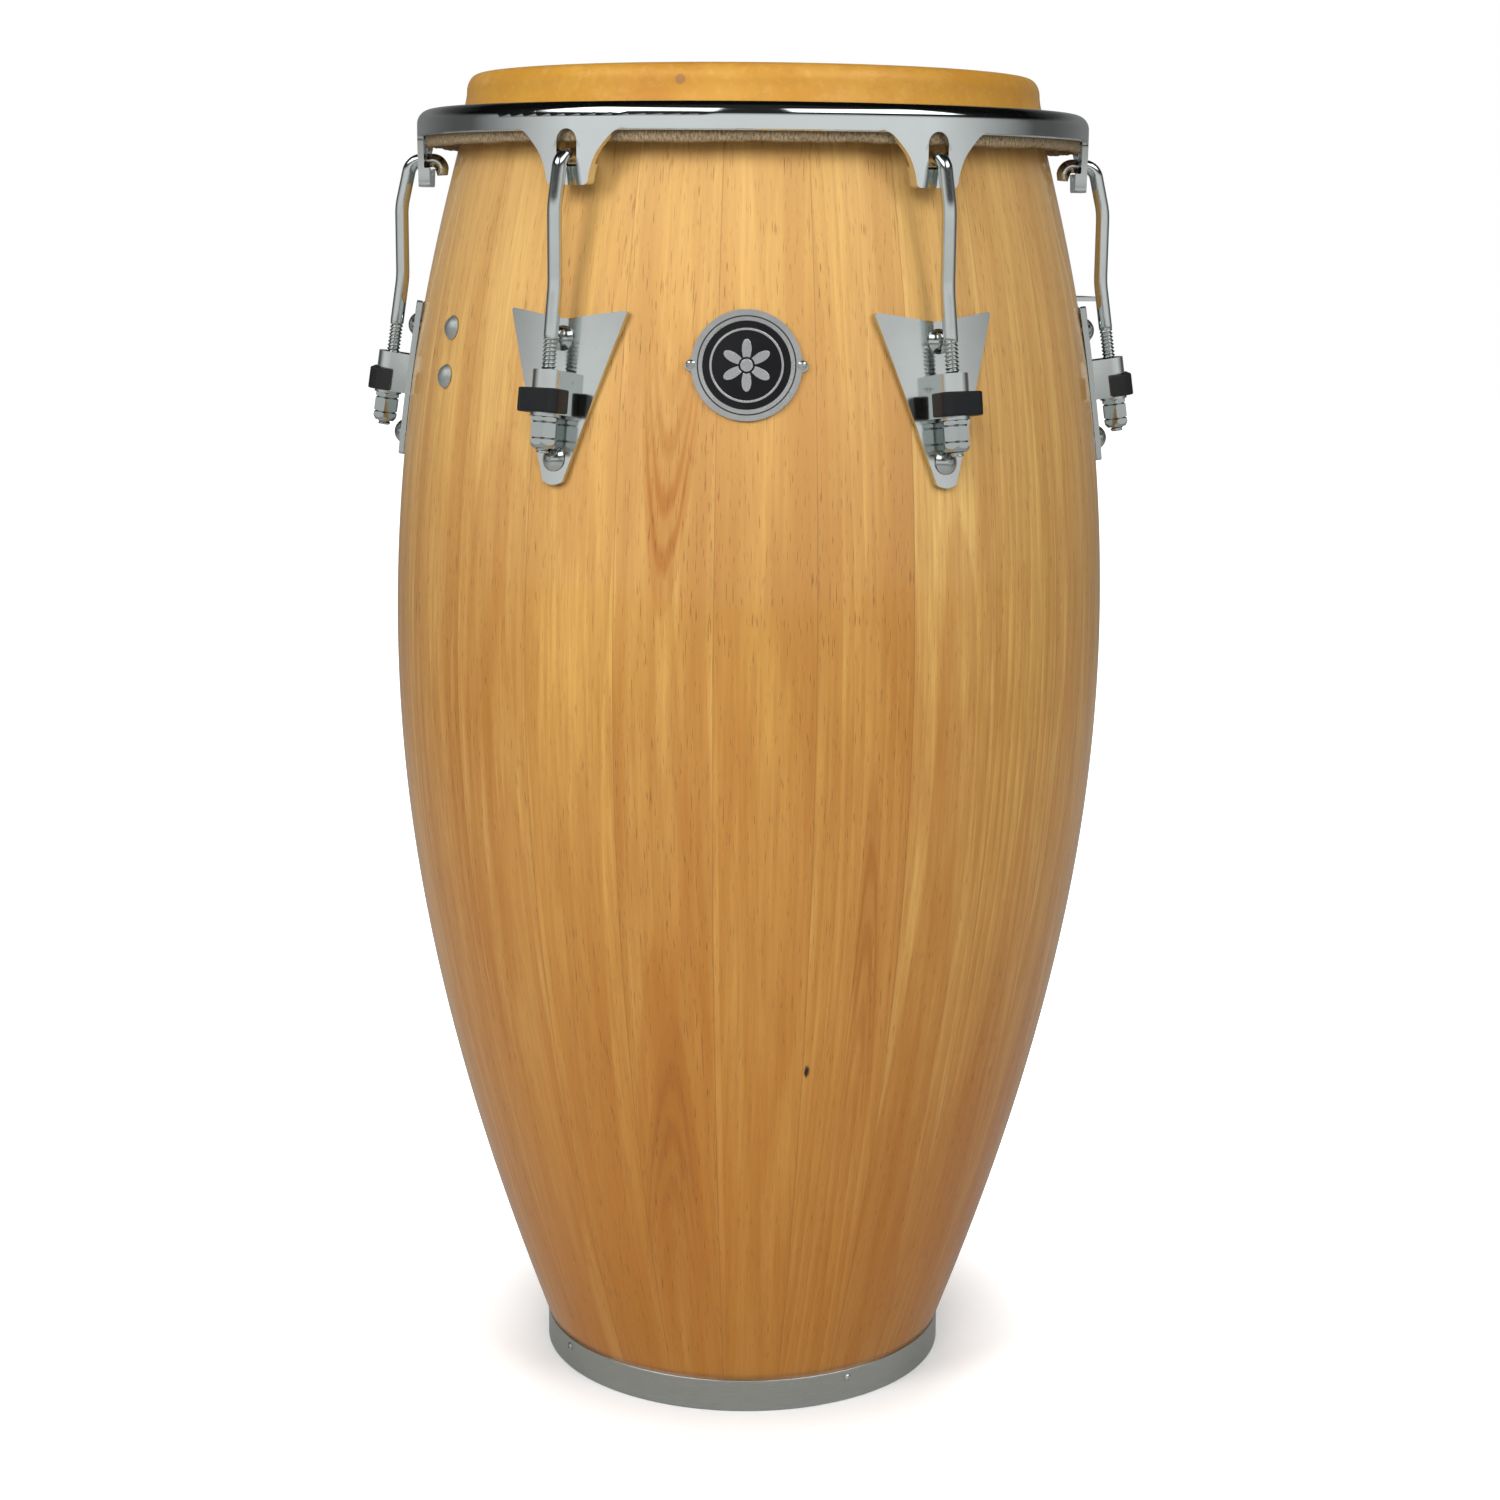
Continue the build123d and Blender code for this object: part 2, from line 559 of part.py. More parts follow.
with BuildPart() as crown_rim:
    with BuildSketch(MERIDIAN) as rim_section:
        with BuildLine():
            Polyline((RIM_R - RIM_WALL, RIM_LOW_Z), (RIM_R, RIM_LOW_Z), (RIM_R, RIM_TOP_Z - RIM_ROUND))
            RadiusArc((RIM_R, RIM_TOP_Z - RIM_ROUND), (RIM_R - RIM_ROUND, RIM_TOP_Z), -RIM_ROUND)
            Polyline(
                (RIM_R - RIM_ROUND, RIM_TOP_Z),
                (RIM_LIP_R + 4, RIM_TOP_Z),
                (RIM_LIP_R, RIM_TOP_Z - RIM_WALL * 0.6),
                (RIM_LIP_R, RIM_TOP_Z - RIM_WALL),
                (RIM_R - RIM_ROUND, RIM_TOP_Z - RIM_WALL),
            )
            RadiusArc(
                (RIM_R - RIM_ROUND, RIM_TOP_Z - RIM_WALL),
                (RIM_R - RIM_WALL, RIM_TOP_Z - RIM_ROUND),
                RIM_ROUND - RIM_WALL,
            )
            Line((RIM_R - RIM_WALL, RIM_TOP_Z - RIM_ROUND), (RIM_R - RIM_WALL, RIM_LOW_Z))
        make_face()
        fillet(rim_section.vertices().sort_by(Axis.Y)[0:2], 0.8)
    revolve(axis=Axis.Z)
    add(turned(rim_ear.part, lug_azimuths))
    with BuildSketch(FRONT):
        with Locations((0, EAR_SLOT_TOP_Z - EAR_SLOT_WIDTH / 2)):
            Circle(EAR_SLOT_WIDTH / 2)
    slot_tops = extrude(amount=230, mode=Mode.PRIVATE)
    add(turned(slot_tops, lug_azimuths), mode=Mode.SUBTRACT)
write("crown_rim", crown_rim.part)

# ---------------------------------------------------------------- tension rods and nuts
axis_r, axis_z = lug_point(STIRRUP_AXIS_N, 0)
bend_z = axis_z + (axis_r - ROD_DROP_R) / (TILT_SIN / TILT_COS)
rod_tip = lug_point(STIRRUP_AXIS_N, ROD_TIP_V)
with BuildPart() as rod:
    with BuildLine(MERIDIAN) as rod_line:
        FilletPolyline(
            rod_tip,
            (ROD_DROP_R, bend_z),
            (ROD_DROP_R, ROD_DROP_Z),
            (ROD_SHOULDER_R, ROD_HOOK_Z),
            (ROD_HOOK_IN_R, ROD_HOOK_Z),
            ROD_TAIL,
            radius=list(reversed(ROD_BENDS)),
        )
    with BuildSketch(lug_section(ROD_TIP_V)):
        Circle(ROD_R)
    sweep()
    chamfer(rod.edges().sort_by(Axis.Z)[0], 0.8)
for k, azimuth in enumerate(lug_azimuths, 1):
    write(f"tension_rod_{k}", turned(rod.part, [azimuth]))

nut_top = STIRRUP_FLOOR_V - LUG_WASHER - 0.12
with BuildPart() as tuning_washer:
    with BuildSketch(lug_section(STIRRUP_FLOOR_V - 0.04)):
        Circle(LUG_WASHER_R)
        Circle(ROD_HOLE_R, mode=Mode.SUBTRACT)
    extrude(amount=-LUG_WASHER)
write("tuning_washers", turned(tuning_washer.part, lug_azimuths))

corner = NUT_FLATS / 2 / cos(radians(30))
with BuildPart() as hex_bar:
    with BuildSketch():
        RegularPolygon(NUT_FLATS / 2, 6, major_radius=False)
    extrude(amount=-NUT_HEIGHT)
    with BuildSketch(Plane.XZ):
        with BuildLine():
            Polyline(
                (NUT_BORE_R, 0),
                (corner - 0.9, 0),
                (corner, -0.6),
                (corner, -2.2),
                (corner - 1.4, -2.5),
                (corner - 1.4, -3.1),
                (corner, -3.4),
                (corner, -10.6),
                (corner - 1.4, -10.9),
                (corner - 1.4, -11.5),
                (corner, -11.8),
                (corner, -13.4),
                (corner - 2.0, -NUT_HEIGHT),
                (NUT_BORE_R, -NUT_HEIGHT),
                close=True,
            )
        make_face()
    revolve(axis=Axis.Z, mode=Mode.INTERSECT)
for k, azimuth in enumerate(lug_azimuths, 1):
    write(f"tuning_nut_{k}", placed(hex_bar.part, [(azimuth, lug_section(nut_top))]))
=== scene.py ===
"""Looks of a conga drum: a natural-wood staved shell, rawhide head and chrome tension hardware.

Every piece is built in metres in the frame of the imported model: +Z up, the badge facing -Y, the
origin on the floor under the drum's centre. Azimuths run from -Y towards +X.
"""

import logging
import math
from dataclasses import dataclass, field
from enum import Enum

import bmesh
import bpy
import numpy as np
from mathutils import Matrix, Vector

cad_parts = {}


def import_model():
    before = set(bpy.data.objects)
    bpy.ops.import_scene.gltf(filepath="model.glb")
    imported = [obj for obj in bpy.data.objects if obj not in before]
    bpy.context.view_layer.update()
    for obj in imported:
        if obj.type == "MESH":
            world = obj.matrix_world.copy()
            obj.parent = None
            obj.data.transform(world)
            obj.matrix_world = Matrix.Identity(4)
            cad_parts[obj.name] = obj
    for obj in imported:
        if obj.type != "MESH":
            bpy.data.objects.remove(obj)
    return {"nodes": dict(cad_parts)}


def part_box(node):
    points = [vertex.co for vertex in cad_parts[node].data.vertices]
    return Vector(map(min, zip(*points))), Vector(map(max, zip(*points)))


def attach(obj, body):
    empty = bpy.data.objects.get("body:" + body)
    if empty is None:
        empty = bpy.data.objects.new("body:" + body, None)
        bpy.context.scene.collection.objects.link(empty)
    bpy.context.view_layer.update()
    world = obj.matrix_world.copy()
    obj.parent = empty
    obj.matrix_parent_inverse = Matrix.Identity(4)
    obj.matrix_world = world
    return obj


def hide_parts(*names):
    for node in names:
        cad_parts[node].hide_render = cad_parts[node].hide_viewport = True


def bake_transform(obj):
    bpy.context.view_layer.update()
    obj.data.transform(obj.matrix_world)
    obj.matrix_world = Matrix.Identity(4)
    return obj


LOG = logging.getLogger("conga")
FULL_TURN = 2 * math.pi

Material = bpy.types.Material
Node = bpy.types.Node
NodeTree = bpy.types.NodeTree
Socket = bpy.types.NodeSocket
Colour = tuple[float, float, float, float]


class Body(str, Enum):
    """Names of the bodies that the pieces ride on."""

    DRUM = "drum"
    CROWN = "crown"


class GrainKind(Enum):
    """How a mark is stretched over a surface, as the scale of its noise along x, y and z."""

    EVEN = (1.0, 1.0, 1.0)
    ROUND_THE_AXIS = (1.0, 1.0, 22.0)


# ---------------------------------------------------------------- meshes from whole arrays
def grid_faces(rows: int, columns: int, closed_rows: bool, closed_columns: bool) -> np.ndarray:
    """Quads between the neighbours of a grid of points numbered row by row.

    Args:
        rows: How many rows of points the grid has.
        columns: How many points a row has.
        closed_rows: Whether the last row joins the first.
        closed_columns: Whether the last point of a row joins its first.

    Returns:
        An array of four point numbers a face.
    """
    i = np.arange(rows if closed_rows else rows - 1)[:, None]
    j = np.arange(columns if closed_columns else columns - 1)[None, :]
    i_next, j_next = (i + 1) % rows, (j + 1) % columns
    here, ahead = i * columns, i_next * columns
    corners = (here + j, here + j_next, ahead + j_next, ahead + j)
    return np.stack(np.broadcast_arrays(*corners), -1).reshape(-1, 4)


def mesh_piece(
    name: str, points: np.ndarray, faces: np.ndarray, merge: float = 0.0
) -> bpy.types.Object:
    """Makes a smooth-shaded mesh object from points and quads, with its faces turned outwards.

    Args:
        name: The object's name.
        points: An (n, 3) array of places in metres.
        faces: An (m, 4) array of point numbers.
        merge: Points nearer than this are joined, which closes poles and seams.

    Returns:
        The new object, at the origin.
    """
    mesh = bpy.data.meshes.new(name)
    mesh.from_pydata(points.reshape(-1, 3), [], faces)
    mesh.update()
    piece = bpy.data.objects.new(name, mesh)
    bpy.context.scene.collection.objects.link(piece)
    work = bmesh.new()
    work.from_mesh(mesh)
    if merge > 0:
        bmesh.ops.remove_doubles(work, verts=work.verts, dist=merge)
        bmesh.ops.dissolve_degenerate(work, edges=work.edges, dist=merge)
    bmesh.ops.recalc_face_normals(work, faces=work.faces)
    work.to_mesh(mesh)
    work.free()
    mesh.shade_smooth()
    return piece


def lathe(profile: np.ndarray, count: int, wobble: np.ndarray | None = None) -> np.ndarray:
    """Turns a profile of (radius, height) pairs round the z axis.

    Point (i, j) is (r sin a, -r cos a, z) of profile point i at azimuth a = 2 pi j / count, with
    the wobble's (i, j) radius and height added first.

    Args:
        profile: An (n, 2) array of radii and heights.
        count: How many azimuths there are.
        wobble: An (n, count, 2) array added to the radii and heights.

    Returns:
        An (n, count, 3) array of points.
    """
    azimuth = np.arange(count) * FULL_TURN / count
    rz = np.broadcast_to(profile[:, None, :], (len(profile), count, 2))
    if wobble is not None:
        rz = rz + wobble
    return np.stack([rz[..., 0] * np.sin(azimuth), -rz[..., 0] * np.cos(azimuth), rz[..., 1]], -1)


def smooth_path(path: np.ndarray, rounds: int) -> np.ndarray:
    """Cuts a polyline's corners by Chaikin's rule.

    Each edge keeps its quarter and three-quarter points.

    Args:
        path: An (n, k) array of points.
        rounds: How many times the corners are cut.

    Returns:
        The smoothed points, which keep the first and the last.
    """
    for _ in range(rounds):
        a, b = path[:-1], path[1:]
        inner = np.stack([0.75 * a + 0.25 * b, 0.25 * a + 0.75 * b], 1).reshape(-1, path.shape[1])
        path = np.concatenate([path[:1], inner[1:-1], path[-1:]])
    return path


# ---------------------------------------------------------------- node helpers and groups
class Nodes:
    """Adds shader nodes to a tree and joins them, so a material reads as a list of steps."""

    def __init__(self, tree: NodeTree) -> None:
        """Keeps the tree that nodes are added to."""
        self.tree = tree

    def add(self, kind: str, label: str = "", **values: object) -> Node:
        """Adds one node and sets its properties.

        Args:
            kind: The node's type name.
            label: The words shown on it.
            **values: Its properties by name.

        Returns:
            The new node.
        """
        node = self.tree.nodes.new(kind)
        node.label = label
        for key, value in values.items():
            setattr(node, key, value)
        return node

    def put(self, source: object, target: Socket) -> None:
        """Joins a socket to the target, or writes a plain value on it."""
        if isinstance(source, Socket):
            self.tree.links.new(source, target)
        else:
            target.default_value = source

    def math(self, operation: str, *values: object, clamp: bool = False) -> Socket:
        """One Math node on sockets or plain numbers, and its result."""
        node = self.add("ShaderNodeMath", operation=operation, use_clamp=clamp)
        for socket, value in zip(node.inputs, values):
            self.put(value, socket)
        return node.outputs[0]

    def plus(self, a: object, b: object) -> Socket:
        """The sum of two values."""
        return self.math("ADD", a, b)

    def minus(self, a: object, b: object) -> Socket:
        """The first value less the second."""
        return self.math("SUBTRACT", a, b)

    def times(self, a: object, b: object) -> Socket:
        """The product of two values."""
        return self.math("MULTIPLY", a, b)

    def hypot(self, a: object, b: object) -> Socket:
        """The square root of the sum of two values' squares."""
        return self.math("SQRT", self.plus(self.times(a, a), self.times(b, b)))

    def place(self) -> Socket:
        """Where a point lies in its object's own axes."""
        return self.add("ShaderNodeTexCoord").outputs["Object"]

    def split(self, vector: object) -> bpy.types.bpy_prop_collection:
        """The x, y and z of a vector."""
        node = self.add("ShaderNodeSeparateXYZ")
        self.put(vector, node.inputs[0])
        return node.outputs

    def group(self, tree: NodeTree) -> Node:
        """One use of a node group."""
        return self.add("ShaderNodeGroup", node_tree=tree)

    def noise(
        self, vector: object, scale: float, detail: float = 2.0, rough: float = 0.5
    ) -> Socket:
        """The value of one Noise Texture on a vector."""
        node = self.add("ShaderNodeTexNoise")
        self.put(vector, node.inputs["Vector"])
        self.put(scale, node.inputs["Scale"])
        self.put(detail, node.inputs["Detail"])
        self.put(rough, node.inputs["Roughness"])
        return node.outputs["Fac"]

    def span(
        self, value: object, low: float, high: float, to_low: float = 0.0, to_high: float = 1.0
    ) -> Socket:
        """Maps a value from one range to another and clamps it."""
        node = self.add("ShaderNodeMapRange", clamp=True)
        names = ("Value", "From Min", "From Max", "To Min", "To Max")
        for name, part in zip(names, (value, low, high, to_low, to_high)):
            self.put(part, node.inputs[name])
        return node.outputs[0]

    def blend(self, factor: object, a: object, b: object, mode: str = "MIX") -> Socket:
        """Mixes two colours by a factor."""
        node = self.add("ShaderNodeMix", data_type="RGBA", blend_type=mode)
        self.put(factor, node.inputs[0])
        self.put(a, node.inputs[6])
        self.put(b, node.inputs[7])
        return node.outputs[2]

    def choose(self, factor: object, a: object, b: object, label: str = "") -> Socket:
        """Mixes two numbers by a factor."""
        node = self.add("ShaderNodeMix", label, data_type="FLOAT")
        self.put(factor, node.inputs[0])
        self.put(a, node.inputs[2])
        self.put(b, node.inputs[3])
        return node.outputs[0]

    def vector(self, x: object, y: object, z: object) -> Socket:
        """A vector from three values."""
        node = self.add("ShaderNodeCombineXYZ")
        for socket, value in zip(node.inputs, (x, y, z)):
            self.put(value, socket)
        return node.outputs[0]

    def bump(self, height: object, strength: float, distance: float) -> Socket:
        """The normal of one Bump node over a height."""
        node = self.add("ShaderNodeBump")
        node.inputs["Strength"].default_value = strength
        node.inputs["Distance"].default_value = distance
        self.put(height, node.inputs["Height"])
        return node.outputs["Normal"]


def new_group(
    name: str, inputs: dict[str, float], outputs: list[str]
) -> tuple[NodeTree, Nodes, Node, Node]:
    """Starts a shader node group that takes numbers and puts out numbers.

    Args:
        name: The group's name.
        inputs: Its inputs and their defaults.
        outputs: Its outputs.

    Returns:
        The group, the helper that fills it, its input node and its output node.
    """
    group = bpy.data.node_groups.new(name, "ShaderNodeTree")
    for key, value in inputs.items():
        socket = group.interface.new_socket(name=key, in_out="INPUT", socket_type="NodeSocketFloat")
        socket.default_value = value
    for key in outputs:
        group.interface.new_socket(name=key, in_out="OUTPUT", socket_type="NodeSocketFloat")
    nodes = Nodes(group)
    return group, nodes, nodes.add("NodeGroupInput"), nodes.add("NodeGroupOutput")


def make_cylinder_group() -> NodeTree:
    """A group that turns a place into azimuth in degrees, radius and height round the z axis.

    Returns:
        The group, with outputs Azimuth, Radius and Height.
    """
    group, nodes, _, out = new_group("round_the_drum", {}, ["Azimuth", "Radius", "Height"])
    x, y, z = nodes.split(nodes.place())
    angle = nodes.math("ARCTAN2", x, nodes.times(y, -1.0))
    nodes.put(nodes.math("DEGREES", angle), out.inputs["Azimuth"])
    nodes.put(nodes.hypot(x, y), out.inputs["Radius"])
    nodes.put(z, out.inputs["Height"])
    return group


def make_handling_group() -> NodeTree:
    """A group of the marks that use leaves, smudges, scratches and worn edges, and of hollow
    corners, where the metals paint shade.

    Returns:
        The group, with inputs Smudge Scale and Scratch Scale and outputs Smudge, Scratch, Edge and
        Corner.
    """
    group, nodes, given, out = new_group(
        "handling_marks",
        {"Smudge Scale": 18.0, "Scratch Scale": 260.0},
        ["Smudge", "Scratch", "Edge", "Corner"],
    )
    place = nodes.place()
    smudge = nodes.noise(place, given.outputs["Smudge Scale"], 4.0, 0.6)
    nodes.put(nodes.span(smudge, 0.35, 0.75), out.inputs["Smudge"])
    stretch = nodes.add("ShaderNodeMapping")
    nodes.put(place, stretch.inputs["Vector"])
    stretch.inputs["Rotation"].default_value = (0.4, 0.7, 0.3)
    stretch.inputs["Scale"].default_value = (1.0, 0.06, 1.0)
    scratch = nodes.noise(stretch.outputs[0], given.outputs["Scratch Scale"], 3.0, 0.7)
    nodes.put(nodes.span(scratch, 0.62, 0.74), out.inputs["Scratch"])
    sharp = nodes.add("ShaderNodeNewGeometry").outputs["Pointiness"]
    nodes.put(nodes.span(sharp, 0.51, 0.58), out.inputs["Edge"])
    # Hollow corners, which the metals darken as painted shade.
    nodes.put(nodes.span(sharp, 0.485, 0.43), out.inputs["Corner"])
    return group


@dataclass
class EffectGroups:
    """The node groups that several finishes use, each made once."""

    cylinder: NodeTree = field(default_factory=make_cylinder_group)
    handling: NodeTree = field(default_factory=make_handling_group)


# ---------------------------------------------------------------- finishes
# Painted shade: the near-black that the metals' hollow corners are darkened towards.
CORNER_SHADE: Colour = (0.035, 0.037, 0.036, 1)
LINE_PAINT: Colour = (0.012, 0.012, 0.013, 1)
BADGE_LEAN = 9.0


def start_material(name: str) -> tuple[Material, Nodes, Node]:
    """Starts a node material with one Principled shader.

    Args:
        name: The material's name.

    Returns:
        The material, its node helper and its Principled shader.
    """
    material = bpy.data.materials.new(name)
    material.use_nodes = True
    nodes = Nodes(material.node_tree)
    return material, nodes, material.node_tree.nodes["Principled BSDF"]


def badge_reach(nodes: Nodes, node: str) -> tuple[Socket, Socket]:
    """Works out where a point lies on a round plate that faces the front and leans back.

    Args:
        nodes: The material's node helper.
        node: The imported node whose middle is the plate's.

    Returns:
        The distance from the middle in metres and the angle from straight up in radians.
    """
    low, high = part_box(node)
    middle = [(a + b) / 2 for a, b in zip(low, high)]
    x, _, z = nodes.split(nodes.place())
    u = nodes.minus(x, middle[0])
    v = nodes.math("DIVIDE", nodes.minus(z, middle[2]), math.cos(math.radians(BADGE_LEAN)))
    return nodes.hypot(u, v), nodes.math("ARCTAN2", u, v)


@dataclass(frozen=True)
class PolishedMetal:
    """Chrome or plain steel, with smudges, hair scratches, slightly duller edges and painted shade
    in hollow corners.
    """

    name: str
    tint: tuple[float, float, float] = (0.72, 0.72, 0.74)
    rough: float = 0.05
    smudge_rough: float = 0.06
    brushed: GrainKind | None = None
    brush_depth: float = 0.00003
    ring_line: float | None = None
    satin_azimuth: float | None = None

    def build(self, groups: EffectGroups) -> Material:
        """Makes the material.

        Args:
            groups: The shared effect groups.

        Returns:
            The material.
        """
        material, nodes, shader = start_material(self.name)
        marks = nodes.group(groups.handling)
        colour = nodes.blend(
            nodes.times(marks.outputs["Smudge"], 0.35),
            (*self.tint, 1),
            (*(c * 0.86 for c in self.tint), 1),
        )
        shader.inputs["Metallic"].default_value = 1.0
        rough = nodes.math("MULTIPLY_ADD", marks.outputs["Smudge"], self.smudge_rough, self.rough)
        rough = nodes.math("MULTIPLY_ADD", marks.outputs["Scratch"], 0.08, rough)
        rough = nodes.math("MULTIPLY_ADD", marks.outputs["Edge"], 0.05, rough, clamp=True)
        if self.satin_azimuth is not None:
            around = nodes.group(groups.cylinder)
            away = nodes.minus(around.outputs["Azimuth"], self.satin_azimuth)
            away = nodes.math("ABSOLUTE", away)
            rough = nodes.math("MAXIMUM", rough, nodes.span(away, 8.0, 6.0, 0.0, 0.55))
        nodes.put(rough, shader.inputs["Roughness"])
        height = marks.outputs["Scratch"]
        if self.brushed is not None:
            stretch = nodes.add("ShaderNodeMapping")
            nodes.put(nodes.place(), stretch.inputs["Vector"])
            stretch.inputs["Scale"].default_value = self.brushed.value
            lines = nodes.noise(stretch.outputs[0], 90.0, 5.0, 0.75)
            height = nodes.math("MULTIPLY_ADD", marks.outputs["Scratch"], 0.3, lines)
            groove = (*(c * 0.8 for c in self.tint), 1)
            colour = nodes.blend(nodes.span(lines, 0.3, 0.7), colour, groove)
        # Painted shade: hollow corners darkened towards near-black.
        colour = nodes.blend(nodes.times(marks.outputs["Corner"], 0.8), colour, CORNER_SHADE)
        if self.ring_line is not None:
            reach, _ = badge_reach(nodes, "badge_plate")
            off_line = nodes.math("ABSOLUTE", nodes.minus(reach, self.ring_line))
            line = nodes.span(off_line, 0.0005, 0.0003)
            colour = nodes.blend(line, colour, LINE_PAINT)
            nodes.put(nodes.minus(1.0, line), shader.inputs["Metallic"])
        nodes.put(colour, shader.inputs["Base Color"])
        nodes.put(nodes.bump(height, 0.12, self.brush_depth), shader.inputs["Normal"])
        return material


@dataclass(frozen=True)
class Figure:
    """One dark arch in the grain, a parabola from its tip towards its open end.

    The azimuth is in degrees and the lengths are in metres. The tip points up when rise is 1 and
    down when it is -1, and lean is how far the arch drifts, in degrees per metre from the tip.
    """

    azimuth: float
    tip_height: float
    length: float
    half_width: float
    rise: float = 1.0
    lean: float = 0.0


@dataclass(frozen=True)
class LacqueredWood:
    """Clear-lacquered staves: each has its own tone, straight or arched grain, pores and rays."""

    name: str = "shell_wood"
    staves: int = 24
    first_seam: float = -5.0
    knot_azimuth: float = 10.7
    knot_height: float = 0.227
    seed: float = 7.31
    honey: tuple[Colour, Colour] = ((0.64, 0.35, 0.085, 1), (0.77, 0.49, 0.150, 1))
    streak: Colour = (0.47, 0.21, 0.042, 1)
    late_wood: Colour = (0.42, 0.165, 0.03, 1)
    dark_fibre: Colour = (0.40, 0.175, 0.038, 1)
    # Painted shade towards the bottom and painted light towards the top, as the light falls from
    # above.
    bottom_painted_shade: Colour = (0.50, 0.165, 0.014, 1)
    top_painted_light: Colour = (0.90, 0.62, 0.26, 1)
    arch_brown: Colour = (0.38, 0.135, 0.022, 1)
    pore_brown: Colour = (0.20, 0.085, 0.03, 1)
    glue_brown: Colour = (0.22, 0.09, 0.03, 1)
    knot_black: Colour = (0.03, 0.015, 0.01, 1)
    figures: tuple[Figure, ...] = (
        Figure(-11.8, 0.262, 0.20, 0.021, lean=-20.0),
        Figure(-12.6, 0.478, 0.16, 0.019, rise=-1.0, lean=6.0),
        Figure(19.0, 0.40, 0.26, 0.012, lean=4.0),
    )

    def stave_parts(self, nodes: Nodes, groups: EffectGroups) -> dict[str, Socket]:
        """Works out where a point lies in its own stave.

        Args:
            nodes: The material's node helper.
            groups: The shared effect groups.

        Returns:
            Sockets for the place across the stave in metres, height, the stave's random numbers
            and the distance from its glue line in metres.
        """
        place = nodes.group(groups.cylinder)
        azimuth, radius, height = (place.outputs[k] for k in ("Azimuth", "Radius", "Height"))
        turn = nodes.math("DIVIDE", nodes.minus(azimuth, self.first_seam), 360 / self.staves)
        index = nodes.math("FLOOR", turn)
        part = nodes.minus(nodes.minus(turn, index), 0.5)
        width = nodes.times(radius, FULL_TURN / self.staves)
        across = nodes.times(part, width)
        seam = nodes.times(nodes.minus(0.5, nodes.math("ABSOLUTE", part)), width)
        random = nodes.add("ShaderNodeTexWhiteNoise", noise_dimensions="1D")
        wrapped = nodes.math("WRAP", index, float(self.staves), 0.0)
        nodes.put(nodes.plus(wrapped, self.seed), random.inputs["W"])
        split = nodes.add("ShaderNodeSeparateColor")
        nodes.put(random.outputs["Color"], split.inputs[0])
        return {
            "across": across,
            "height": height,
            "seam": seam,
            "tone": split.outputs[0],
            "shift": split.outputs[1],
            "cut": split.outputs[2],
            "azimuth": azimuth,
            "radius": radius,
        }

    def build(self, groups: EffectGroups) -> Material:
        """Makes the material.

        Args:
            groups: The shared effect groups.

        Returns:
            The material.
        """
        material, nodes, shader = start_material(self.name)
        at = self.stave_parts(nodes, groups)
        offset = nodes.times(at["shift"], 9.0)

        def stretched(across: float, up: float) -> Socket:
            """The place in the stave, scaled across the grain and along it."""
            x, z = nodes.times(at["across"], across), nodes.times(at["height"], up)
            return nodes.vector(x, offset, z)

        drift = nodes.noise(stretched(9.0, 1.6), 1.0, 2.0, 0.5)
        # Growth rings cut lengthways: height plus the square of the place across gives arches.
        off_middle = nodes.plus(at["across"], nodes.times(nodes.minus(drift, 0.5), 0.05))
        square = nodes.times(off_middle, off_middle)
        arch = nodes.times(square, nodes.math("MULTIPLY_ADD", at["shift"], 150.0, 170.0))
        flip = nodes.math("SIGN", nodes.minus(at["tone"], 0.5))
        rise = nodes.times(nodes.times(at["height"], flip), 0.32)
        flat_sawn = nodes.plus(nodes.plus(arch, rise), nodes.times(drift, 0.45))
        quarter_sawn = nodes.math("MULTIPLY_ADD", drift, 0.5, nodes.times(at["across"], 24.0))
        is_flat = nodes.span(at["cut"], 0.38, 0.46)
        spread = nodes.choose(is_flat, quarter_sawn, flat_sawn)
        rings = nodes.math("FRACT", nodes.math("MULTIPLY_ADD", spread, 7.0, offset))
        late = nodes.times(nodes.span(rings, 0.15, 0.92), nodes.span(rings, 1.0, 0.93))
        fibre = nodes.noise(stretched(380.0, 14.0), 1.0, 4.0, 0.65)
        broad = nodes.noise(stretched(42.0, 3.0), 1.0, 3.0, 0.6)
        pores = nodes.span(nodes.noise(stretched(1500.0, 95.0), 1.0, 1.0, 0.5), 0.63, 0.73)
        pores = nodes.times(pores, nodes.span(broad, 0.35, 0.6, 0.35, 1.0))
        honey = nodes.blend(at["tone"], *self.honey)
        warm = nodes.blend(nodes.span(broad, 0.40, 0.66), honey, self.streak)
        colour = nodes.blend(nodes.times(late, 0.46), warm, self.late_wood)
        colour = nodes.blend(nodes.span(fibre, 0.36, 0.68, 0.0, 0.62), colour, self.dark_fibre)
